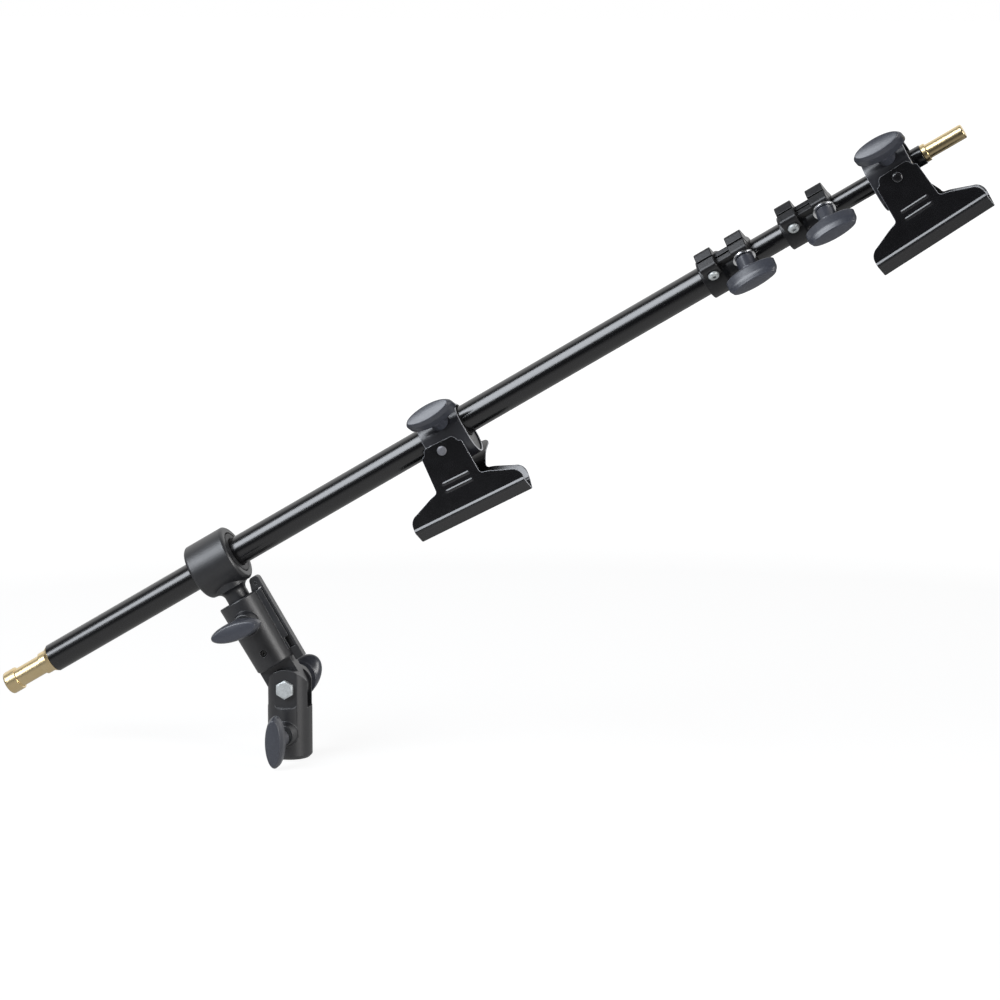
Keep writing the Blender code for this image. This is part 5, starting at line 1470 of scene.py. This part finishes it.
# %% [markdown]
# The rear jaw hangs on a bead that sits in the cup of a leaf spring. Below
# the bead it leans forward to meet the front lip, and above it curves away
# into a thumb handle. The path of its rows is a straight line that runs into
# a curve with three control points.

# %% Rear jaw and leaf spring
LIP_GAP = 0.0003
HANDLE_HALF = 0.0145
HANDLE_CORNER = 0.0080
HANDLE_RUN = 0.0140
HANDLE_END = (0.0440, 0.0410)
HANDLE_STEPS = 40
HANDLE_ROUND_FROM = 0.70
SPRING_THICKNESS = 0.0010
SPRING_HALF_WIDTH = 0.0092
SPRING_RADIUS = 0.0068
SPRING_CUP_END = 250.0
SPRING_FOOT_LENGTH = 0.0060
SPRING_RAMP = 0.0045
SPRING_RISE = 0.0030
SPRING_EASE = 0.0012
SPRING_COLUMNS = 12


def rear_jaw(handle_shift):
    edge_depth = -JAW_PLANE + LIP_HEIGHT + JAW_THICKNESS / math.sqrt(2.0) + LIP_GAP
    fold = Vector((edge_depth + LIP_HEIGHT, JAW_FOOT + LIP_HEIGHT))
    run = Vector((PIVOT_DEPTH, PIVOT_LEVEL)) - fold
    lean = math.asin(BEAD_RADIUS / run.length)
    along = Matrix.Rotation(-lean, 2) @ run.normalized()
    passing = fold + along * run.length * math.cos(lean)
    slope = along[0] / along[1]
    rows = []
    for half, height in filled_rows(lower_outline()):
        lean_depth = fold[0] + slope * max(height - LIP_HEIGHT, 0.0)
        bend = lip_depth(height)
        rows.append((0.0, half, lean_depth - bend, JAW_FOOT + height))
    start = Vector(rows[-1][2:])
    start_half = rows[-1][1]
    bend_point = passing + along * HANDLE_RUN
    end = Vector((HANDLE_END[0] - JAW_PLANE, JAW_FOOT + HANDLE_END[1]))
    for step in range(1, HANDLE_STEPS + 1):
        share = step / HANDLE_STEPS
        point = on_curve(start, bend_point, end, share)
        narrow = start_half + (HANDLE_HALF - start_half) * min(share * 2.0, 1.0)
        past = max((share - HANDLE_ROUND_FROM) / (1.0 - HANDLE_ROUND_FROM), 0.0)
        corner = HANDLE_CORNER * (1.0 - math.sqrt(max(1.0 - past ** 2, 0.0)))
        rows.append((handle_shift * share, narrow - corner, point[0], point[1]))
    plate = pressed_sheet(rows, JAW_THICKNESS)
    bead = rod(BEAD_RADIUS, -SPRING_HALF_WIDTH, SPRING_HALF_WIDTH, axis="X", ease=EASE_FINE)
    jaw = fuse(plate, moved(bead, (0.0, PIVOT_DEPTH, PIVOT_LEVEL)))
    return moved(jaw, (0.0, -PIVOT_DEPTH, -PIVOT_LEVEL))


def leaf_spring():
    cup_radius = BEAD_RADIUS + GAP + SPRING_THICKNESS / 2
    crest = (PIVOT_DEPTH - cup_radius - SPRING_RADIUS, PIVOT_LEVEL)
    foot_depth = -JAW_PLANE + JAW_THICKNESS / 2 + GAP + SPRING_THICKNESS / 2
    ramp_foot = PIVOT_LEVEL - SPRING_RISE - SPRING_RAMP
    path = eased([(foot_depth, ramp_foot - SPRING_FOOT_LENGTH), (foot_depth, ramp_foot),
                  (crest[0] - SPRING_RADIUS, PIVOT_LEVEL - SPRING_RISE),
                  (crest[0] - SPRING_RADIUS, PIVOT_LEVEL)], SPRING_EASE)
    path += arc(crest, SPRING_RADIUS, 180, 0, 36)[1:]
    path += arc((PIVOT_DEPTH, PIVOT_LEVEL), cup_radius, 180, SPRING_CUP_END)[1:]
    rows = [(0.0, SPRING_HALF_WIDTH, depth, height) for depth, height in path]
    return pressed_sheet(rows, SPRING_THICKNESS, columns=SPRING_COLUMNS)


print("spring reaches over", round(SPRING_RADIUS * 2000, 1), "mm")

# %% [markdown]
# Inside the strap a block fills the loop below the tube, a split rubber
# sleeve keeps the coat of the tube from being scratched, and the wing screw
# comes in from the upper front. A rivet with a low domed head joins the front
# jaw to the strap and the block.

# %% Strap, block, sleeve and rivet
SLEEVE_SLIT = 0.0030
CLIP_KNOB_ANGLE = math.radians(60.0)
CLIP_KNOB_GAP = 0.0012
CLIP_KNOB_SHIFT = 0.0026


def strap_outline(radius):
    """Upright oval round the tube: two half circles joined by flat legs."""
    outline = arc((0.0, 0.0), radius, 0, 180, 4 * ARC_STEPS)
    return outline + arc((0.0, -STRAP_LEG), radius, 180, 360, 4 * ARC_STEPS)


def clip_strap(rivet_place):
    half = STRAP_WIDTH / 2
    band = cut(prism(strap_outline(STRAP_RADIUS), -half, half, "YZ"),
               prism(strap_outline(STRAP_BORE), -STRAP_WIDTH, STRAP_WIDTH, "YZ"))
    band = softened(band, 0.0004)
    screw_hole = turned(rod(TAPPED_RADIUS, 0.0, 2 * STRAP_RADIUS), CLIP_KNOB_ANGLE, "X")
    rivet_hole = rod(RIVET_SHANK_RADIUS + GAP, -2 * STRAP_RADIUS, 0.0, axis="Y")
    return cut(band, moved(screw_hole, (CLIP_KNOB_SHIFT, 0.0, 0.0)), moved(rivet_hole, rivet_place))


def clip_saddle(rivet_place, rivet_end):
    horn = math.sqrt(STRAP_BORE ** 2 - SADDLE_HORN_DROP ** 2)
    horn_angle = math.degrees(math.atan2(-SADDLE_HORN_DROP, horn))
    outline = arc((0.0, -STRAP_LEG), SADDLE_RADIUS, 180, 360, 4 * ARC_STEPS)
    outline.append((SADDLE_RADIUS, -SADDLE_HORN_DROP))
    outline += arc((0.0, 0.0), STRAP_BORE, horn_angle, -180 - horn_angle, 4 * ARC_STEPS)
    outline.append((-SADDLE_RADIUS, -SADDLE_HORN_DROP))
    saddle = softened(prism(outline, -SADDLE_WIDTH / 2, SADDLE_WIDTH / 2, "YZ"), EASE_FINE)
    blind_hole = rod(RIVET_SHANK_RADIUS + GAP, -2 * STRAP_RADIUS, rivet_end, axis="Y")
    return cut(saddle, moved(blind_hole, rivet_place))


def grip_sleeve(tube_radius, sleeve_radius):
    half = STRAP_WIDTH / 2
    sleeve = pipe(tube_radius + GAP, sleeve_radius, -half, half, FINE_STEPS, "X", EASE_HAIR)
    slit = block((-STRAP_WIDTH, -SLEEVE_SLIT / 2, 0.0), (STRAP_WIDTH, SLEEVE_SLIT / 2, 2 * sleeve_radius))
    return cut(sleeve, slit)


def jaw_rivet(tip):
    head_back = -JAW_PLANE - JAW_THICKNESS / 2 - GAP
    head_front = head_back - RIVET_HEAD_HEIGHT
    return lathe(eased([
        (0.0, head_front),
        (RIVET_HEAD_RADIUS - RIVET_HEAD_HEIGHT, head_front),
        (RIVET_HEAD_RADIUS, head_back - RIVET_HEAD_HEIGHT / 2),
        (RIVET_HEAD_RADIUS, head_back),
        (RIVET_SHANK_RADIUS, head_back),
        (RIVET_SHANK_RADIUS, tip),
        (0.0, tip),
    ], EASE_SMALL), SMALL_STEPS, "Y")


print("the strap stands", round(STRAP_RADIUS, 5), "from its axis")

# %% Spring clips
LOWER_CLIP_PLACE = 0.1824
UPPER_CLIP_PLACE = INNER_TUBE_END - 0.0225


def spring_clip(prefix, along_boom, tube_radius, rivet_drop, rivet_grip, jaw_shift, jaw_swing, handle_shift,
                rivet_finish):
    sleeve_radius = tube_radius + GAP + SLEEVE_WALL
    rise = SADDLE_RADIUS - sleeve_radius
    grip_place = BOOM @ Matrix.Translation((along_boom, 0.0, 0.0))
    dress(prefix + "_sleeve", grip_sleeve(tube_radius, sleeve_radius), grip_place, "rubber")
    place = grip_place @ Matrix.Translation((0.0, 0.0, rise))
    rivet_place = (jaw_shift, 0.0, -rivet_drop)
    rivet_end = rivet_grip - STRAP_RADIUS
    dress(prefix + "_strap", clip_strap(rivet_place), place, "strap")
    dress(prefix + "_saddle", clip_saddle(rivet_place, rivet_end), place, "plastic")
    outward = Vector((0.0, -math.sin(CLIP_KNOB_ANGLE), math.cos(CLIP_KNOB_ANGLE)))
    hub_face = STRAP_RADIUS + CLIP_KNOB_GAP
    off_axis = rise * math.sin(CLIP_KNOB_ANGLE)
    to_axis = rise * math.cos(CLIP_KNOB_ANGLE)
    tip = math.sqrt((sleeve_radius + GAP) ** 2 - max(off_axis - KNOB_SCREW_RADIUS, 0.0) ** 2) - to_axis
    seat = outward * hub_face + Vector((CLIP_KNOB_SHIFT, 0.0, 0.0))
    add_wing(prefix, place @ axes_place(seat, (1.0, 0.0, 0.0), outward), hub_face - tip)
    jaw_place = place @ Matrix.Translation(rivet_place) @ Matrix.Rotation(-jaw_swing, 4, "Y")
    dress(prefix + "_rivet", jaw_rivet(rivet_end - GAP), jaw_place, rivet_finish)
    dress(prefix + "_front_jaw", front_jaw(), jaw_place, "sheet")
    dress(prefix + "_spring", leaf_spring(), jaw_place, "spring")
    dress(prefix + "_rear_jaw", rear_jaw(handle_shift),
          jaw_place @ Matrix.Translation((0.0, PIVOT_DEPTH, PIVOT_LEVEL)), "bent_sheet")


spring_clip("lower_clip", LOWER_CLIP_PLACE, MAIN_TUBE_RADIUS, 0.0100, 0.0060, -0.0055, math.radians(-3.5),
            0.0090, "dull_zinc")
spring_clip("upper_clip", UPPER_CLIP_PLACE, INNER_TUBE_RADIUS, 0.0075, 0.0034, 0.0024, math.radians(2.9),
            -0.0060, "sheet")

# %% [markdown]
# The floor is a plain pale sheet just under the socket. Seen directly, most of
# its white is its own glow, so that it matches the backdrop, and the rest is
# lit, which keeps the arm's soft shadow. Gloss black mirrors the floor too, so
# in reflections only the part below the arm glows and the rest fades to dark,
# as the floor of a real studio does away from the lamps.

# %% Floor
FLOOR_LEVEL = -0.0006
FLOOR_HALF = 20.0
FLOOR_CENTRE = (0.15, 0.0, 0.0)
FLOOR_WHITE = 1.1
FLOOR_GLOW_SHARE = 0.82
FAR_START = 0.8
FAR_GAIN = 0.4
FLOOR_MIRRORED = 0.45
MIRRORED_FADE = 1.6
MIRRORED_LEAST = 0.03
PAPER = (0.86, 0.86, 0.86, 1.0)
WHITE = (1.0, 1.0, 1.0, 1.0)


def ray_kinds(tree):
    """Two wires: 1 for a ray straight from the camera, and 1 for a mirrored or refracted one."""
    camera_ray, glossy_ray, through_ray = (
        add_node(tree, "ShaderNodeLightPath", {}, {}, kind)
        for kind in ("Is Camera Ray", "Is Glossy Ray", "Is Transmission Ray")
    )
    return camera_ray, (glossy_ray + through_ray).at_most(1.0)


floor_mesh = bpy.data.meshes.new("floor")
floor_corners = [(x * FLOOR_HALF, y * FLOOR_HALF, FLOOR_LEVEL)
                 for x, y in ((-1, -1), (1, -1), (1, 1), (-1, 1))]
floor_mesh.from_pydata(floor_corners, [], [(0, 1, 2, 3)])
floor = bpy.data.objects.new("floor", floor_mesh)
floor.location = FLOOR_CENTRE
bpy.context.collection.objects.link(floor)
paper = bpy.data.materials.new("pale_paper")
paper.use_nodes = True
paper_tree = paper.node_tree
paper_tree.nodes.clear()
from_centre = add_node(paper_tree, "ShaderNodeTexCoord", {}, {}, "Object")
distance = add_node(paper_tree, "ShaderNodeVectorMath", {"operation": "LENGTH"}, {0: from_centre},
                    VECTOR_MATH_VALUE)
camera_ray, mirrored = ray_kinds(paper_tree)
near_arm = (MIRRORED_FADE - distance * MIRRORED_FADE).at_least(MIRRORED_LEAST).at_most(1.0)
far_share = ((distance - FAR_START) * FAR_GAIN).at_least(0.0)
glow_share = (camera_ray * (FLOOR_GLOW_SHARE + far_share).at_most(1.0) + mirrored).at_most(1.0)
strength = camera_ray * FLOOR_WHITE + mirrored * near_arm * FLOOR_MIRRORED
glow_colour = add_node(paper_tree, "ShaderNodeCombineColor", {}, {0: strength, 1: strength, 2: strength})
lit = add_node(paper_tree, "ShaderNodeBsdfDiffuse", {}, {"Color": PAPER})
glow = add_node(paper_tree, "ShaderNodeEmission", {}, {"Color": glow_colour, "Strength": 1.0})
paper_mix = add_node(paper_tree, "ShaderNodeMixShader", {}, {0: glow_share, 1: lit, 2: glow})
paper_output = paper_tree.nodes.new("ShaderNodeOutputMaterial")
paper_tree.links.new(paper_mix.socket, paper_output.inputs["Surface"])
floor_mesh.materials.append(paper)
print("floor at", FLOOR_LEVEL)

# %% [markdown]
# Gloss black shows the room more than itself. A large lamp at the upper left
# draws the bright band along the tubes, a smaller one at the right models the
# head, and the white backdrop lies behind. In reflections the front of the
# room is dim, as a real studio is behind the camera.

# %% World
AMBIENT = 0.12
ROOM_FRONT = 0.03
BACKDROP_EDGE = 2.5
BACKDROP_WRAP = 0.05
world = bpy.data.worlds.new("studio")
bpy.context.scene.world = world
world.use_nodes = True
world_tree = world.node_tree
world_tree.nodes.clear()
direction = add_node(world_tree, "ShaderNodeTexCoord", {}, {}, "Generated")
depth_axis = add_node(world_tree, "ShaderNodeSeparateXYZ", {}, {0: direction}, "Y")
backdrop = ((depth_axis + BACKDROP_WRAP) * BACKDROP_EDGE).at_least(0.0).at_most(1.0)
room = ROOM_FRONT + backdrop * (1.0 - ROOM_FRONT)
straight, mirrored = ray_kinds(world_tree)
strength = straight + (1.0 - straight) * (mirrored * room + (1.0 - mirrored) * AMBIENT)
sky = add_node(world_tree, "ShaderNodeBackground", {}, {"Color": WHITE, "Strength": strength})
world_output = world_tree.nodes.new("ShaderNodeOutputWorld")
world_tree.links.new(sky.socket, world_output.inputs["Surface"])
bpy.context.scene.view_settings.view_transform = "Standard"
print("world ready")

# %% Lamps
TARGET = Vector((0.26, 0.0, 0.20))


def soft_box(name, direction_to_lamp, distance_to_lamp, width, height, power, colour):
    """Rectangular lamp that faces the middle of the arm."""
    lamp = bpy.data.lights.new(name, "AREA")
    lamp.shape = "RECTANGLE"
    lamp.size = width
    lamp.size_y = height
    lamp.energy = power
    lamp.color = colour
    holder = bpy.data.objects.new(name, lamp)
    bpy.context.collection.objects.link(holder)
    towards = Vector(direction_to_lamp).normalized()
    holder.location = TARGET + towards * distance_to_lamp
    holder.rotation_euler = towards.to_track_quat("Z", "Y").to_euler()
    return holder


soft_box("key_box", (-0.58, -0.63, 0.51), 2.2, 1.5, 1.4, 48.0, (0.90, 0.94, 1.0))
soft_box("side_box", (0.86, -0.48, 0.20), 2.4, 0.60, 1.4, 34.0, (1.0, 0.99, 0.98))

# %% [markdown]
# A long lens stands about two and a half metres away, a little to the right
# of the arm and slightly above it. Its matrix holds the right, up and back
# directions of the camera as columns.

# %% Camera
CAMERA_TURN = math.radians(11.2)
CAMERA_LIFT = math.radians(8.5)
CAMERA_PLACE = Vector((0.6331, -2.4693, 0.5551))
CAMERA_LENS = 138.6
SENSOR_WIDTH = 36.0
camera_data = bpy.data.cameras.new("camera")
camera_data.sensor_width = SENSOR_WIDTH
camera_data.lens = CAMERA_LENS
camera = bpy.data.objects.new("camera", camera_data)
bpy.context.collection.objects.link(camera)
level = math.cos(CAMERA_LIFT)
back = Vector((level * math.sin(CAMERA_TURN), -level * math.cos(CAMERA_TURN), math.sin(CAMERA_LIFT)))
right = Vector((math.cos(CAMERA_TURN), math.sin(CAMERA_TURN), 0.0))
up = back.cross(right)
camera.matrix_world = Matrix.Translation(CAMERA_PLACE) @ Matrix((right, up, back)).transposed().to_4x4()
bpy.context.scene.camera = camera
print("camera at", [round(value, 3) for value in CAMERA_PLACE])
